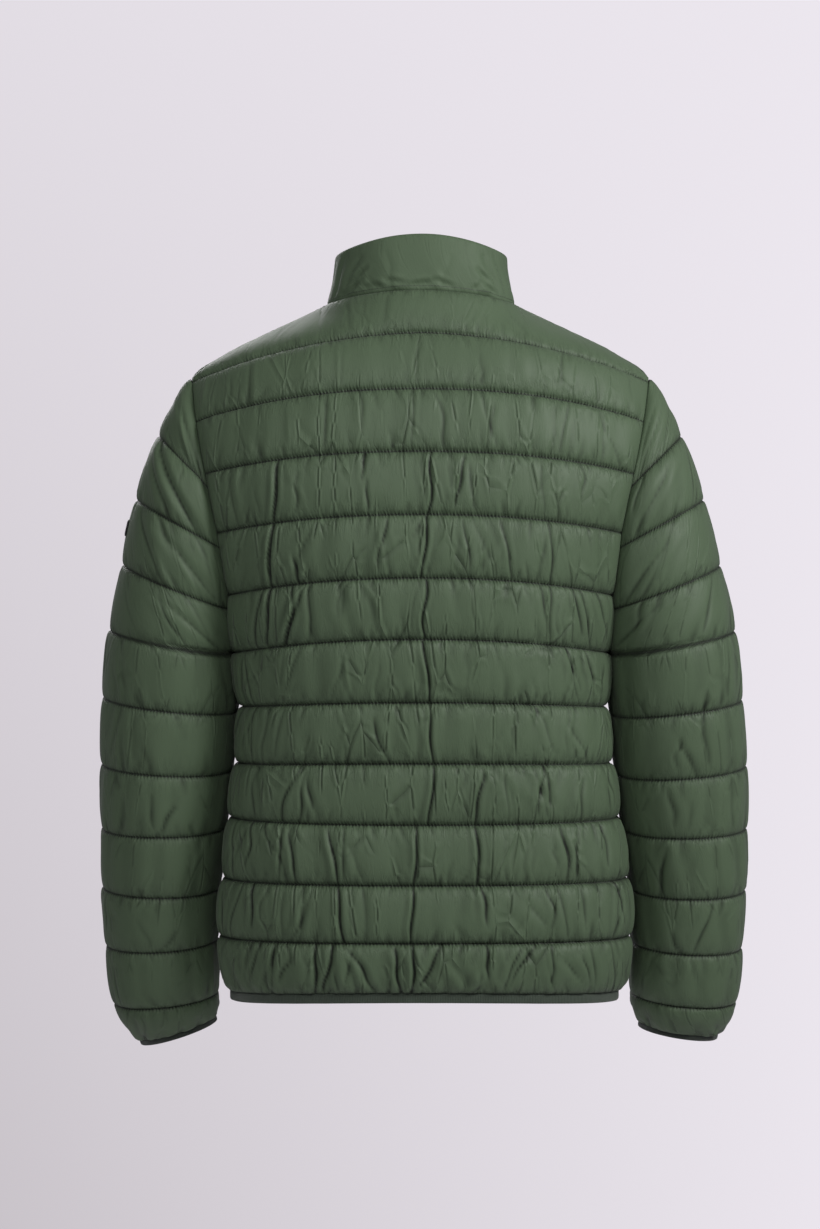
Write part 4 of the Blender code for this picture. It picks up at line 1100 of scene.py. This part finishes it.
tape_weave = rib_knit("woven_tape", (0.014, 0.014, 0.015), 0.0009, 0.00008, 0.85)
for side, panel in ((1, "zip_tape_left"), (-1, "zip_tape_right")):
    z = np.linspace(tape_high[2], tape_low[2], 240)
    y = tape_y(z)
    near, far = 0.0008, 0.0165
    # A corded edge that the teeth are moulded on, then a flat herringbone band
    across = [(near, 0.0), (near + 0.0008, -0.0003), (near + 0.0016, 0.0), (far, 0.0),
        (far, TAPE_THICK), (near + 0.0016, TAPE_THICK), (near + 0.0008, TAPE_THICK + 0.0002),
        (near, TAPE_THICK)]
    rings = np.array([[(side * x, b + d, a) for x, d in across] for a, b in zip(z, y)])
    piece = strip(panel + "_woven", rings, False, tape_high[2] - z, tape_weave)
    piece.data.polygons.foreach_set("use_smooth", np.zeros(len(piece.data.polygons), bool))
    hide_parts(panel)
    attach(piece, "jacket")

teeth = bmesh.new()
places = np.arange(chain_low[2] + 0.002, chain_high[2] - 0.0006, TOOTH_PITCH / 2)
for n, z in enumerate(places):
    side = 1 if n % 2 else -1
    y = float(tape_y(z)) + TAPE_THICK / 2
    tooth = bmesh.ops.create_cube(teeth, size=1)["verts"]
    bmesh.ops.scale(teeth, vec=(0.0036, CHAIN_THICK, TOOTH_PITCH * 0.40), verts=tooth)
    for vert in tooth:
        if vert.co.x * side < 0:
            vert.co.z *= 1.35
            vert.co.y *= 0.85
    bmesh.ops.translate(teeth, vec=(side * 0.0010, y, z), verts=tooth)
bmesh.ops.bevel(teeth, geom=teeth.edges[:], offset=0.00015, segments=1, profile=0.5,
    affect="EDGES", material=-1)
teeth_mesh = bpy.data.meshes.new("zip_teeth")
teeth.to_mesh(teeth_mesh)
teeth.free()
teeth_mesh.materials.append(plain_material("moulded_teeth", (0.016, 0.017, 0.016), 0.42))
teeth_piece = placed("zip_teeth", teeth_mesh)
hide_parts("zip_chain")
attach(teeth_piece, "jacket")

lacquer = plain_material("lacquered_metal", (0.10, 0.10, 0.105), 0.34, 1.0, 300.0, 0.00002, 0.2)
for name in ("zip_slider", "zip_pull_tab"):
    metal_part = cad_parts[name]
    for slot in metal_part.material_slots:
        slot.material = lacquer

# --------------------------------------------------------------------------------
# Badge
# A small plain moulded badge, stitched flat on the outer side of the wearer's left
# sleeve. It carries nothing.
BADGE_HIGH = 0.0009
BADGE_FROM, BADGE_TO = 2.25, 2.56  # in lines of the sleeve
badge_rows = [i for i, r in enumerate(SLEEVE_ROWS) if BADGE_FROM <= r <= BADGE_TO]
badge_columns = range(SLEEVE_COLUMNS // 2 - 10, SLEEVE_COLUMNS // 2 + 11)
under = sleeve_skins[1][np.ix_(badge_rows, badge_columns)]
turned = sleeve_outs[1][np.ix_(badge_rows, badge_columns)]
steps = np.linspace(0, len(badge_rows) - 1, 13)
under, turned = through(under, steps), unit(through(turned, steps))
badge_u = np.linspace(-1, 1, under.shape[1])
badge_v = np.linspace(-1, 1, under.shape[0])[:, None]
crown = np.clip(np.minimum((1 - np.abs(badge_u)) / 0.12, (1 - np.abs(badge_v)) / 0.25), 0, 1) ** 0.5
face = under + turned * (0.0006 + BADGE_HIGH * (0.5 + 0.5 * crown))[..., None]
badge = quilted("badge", face, under + turned * 0.0004, run_along(under), np.linspace(0, 1, 13),
    plain_material("badge_rubber", (0.012, 0.012, 0.013), 0.45))
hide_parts("sleeve_patch")
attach(badge, "jacket")

# --------------------------------------------------------------------------------
# Studio
# A pale floor well below the jacket, a pale lilac-grey backdrop, one large soft key
# light from the upper right, a softer one beside the camera, a weak fill and a wash
# for the front.
floor_mesh = bmesh.new()
bmesh.ops.create_circle(floor_mesh, cap_ends=True, segments=96, radius=1.4,
    matrix=Matrix.Translation((0, 0, -1.5)))
floor_data = bpy.data.meshes.new("studio_floor")
floor_mesh.to_mesh(floor_data)
floor_mesh.free()
floor = placed("studio_floor", floor_data)
floor_paint = bpy.data.materials.new("pale_floor")
floor_paint.use_nodes = True
floor_shader = floor_paint.node_tree.nodes["Principled BSDF"]
floor_shader.inputs["Base Color"].default_value = (0.72, 0.70, 0.73, 1)
floor_shader.inputs["Roughness"].default_value = 0.8
floor_data.materials.append(floor_paint)

world = bpy.data.worlds.new("studio")
bpy.context.scene.world = world
world.use_nodes = True
sky = world.node_tree
seen = sky.nodes.new("ShaderNodeBackground")
# The backdrop has painted shade: a little darker towards the lower left of the view
way = node(sky, "SeparateXYZ", Vector=sky.nodes.new("ShaderNodeTexCoord").outputs["Generated"])
to_left = maths(sky, "MULTIPLY_ADD", way.outputs[0], 3.4, 0.5)
lower = maths(sky, "MULTIPLY_ADD", way.outputs[2], -2.6, 0.5)
painted_backdrop_shade = node(sky, "Math", [("operation", "MULTIPLY"), ("use_clamp", True)], i0=to_left,
    i1=maths(sky, "MULTIPLY_ADD", lower, 0.7, 0.3))
drop = node(sky, "Mix", [("data_type", "RGBA")], i0=painted_backdrop_shade.outputs[0], i6=(0.845, 0.805, 0.865, 1),
    i7=(0.560, 0.525, 0.560, 1))
sky.links.new(drop.outputs[2], seen.inputs["Color"])
seen.inputs["Strength"].default_value = 1.0
lit = sky.nodes["Background"]
lit.inputs["Color"].default_value = (0.88, 0.86, 0.92, 1)
lit.inputs["Strength"].default_value = 0.22
pick = sky.nodes.new("ShaderNodeMixShader")
path = sky.nodes.new("ShaderNodeLightPath")
sky.links.new(path.outputs["Is Camera Ray"], pick.inputs[0])
sky.links.new(lit.outputs[0], pick.inputs[1])
sky.links.new(seen.outputs[0], pick.inputs[2])
sky.links.new(pick.outputs[0], sky.nodes["World Output"].inputs["Surface"])


def soft_light(name, place, aim, size, power, spread=180):
    lamp = bpy.data.lights.new(name, "AREA")
    lamp.shape, lamp.size, lamp.energy, lamp.spread = "DISK", size, power, np.radians(spread)
    holder = bpy.data.objects.new(name, lamp)
    holder.location = place
    holder.rotation_euler = (Vector(aim) - Vector(place)).to_track_quat("-Z", "Y").to_euler()
    bpy.context.scene.collection.objects.link(holder)


soft_light("key", (-2.00, 1.45, 1.05), (0, 0.10, 0.04), 1.2, 23, 115)
soft_light("camera_side", (0.30, 2.60, 0.95), (0, 0.10, -0.02), 1.2, 8.5, 115)
soft_light("fill", (2.4, 2.2, 0.2), (0, 0.05, -0.35), 2.0, 2.5)
soft_light("front_wash", (0.6, -2.6, 1.0), (0, 0, -0.35), 2.2, 45)

camera_data = bpy.data.cameras.new("camera")
camera_data.sensor_fit, camera_data.sensor_height, camera_data.lens = "VERTICAL", 24, 62.5
camera = bpy.data.objects.new("camera", camera_data)
camera.location = (0.011, 3.2, -0.314)
camera.rotation_euler = (np.pi / 2, 0, np.pi)
bpy.context.scene.collection.objects.link(camera)
bpy.context.scene.camera = camera
bpy.context.scene.view_settings.view_transform = "Standard"
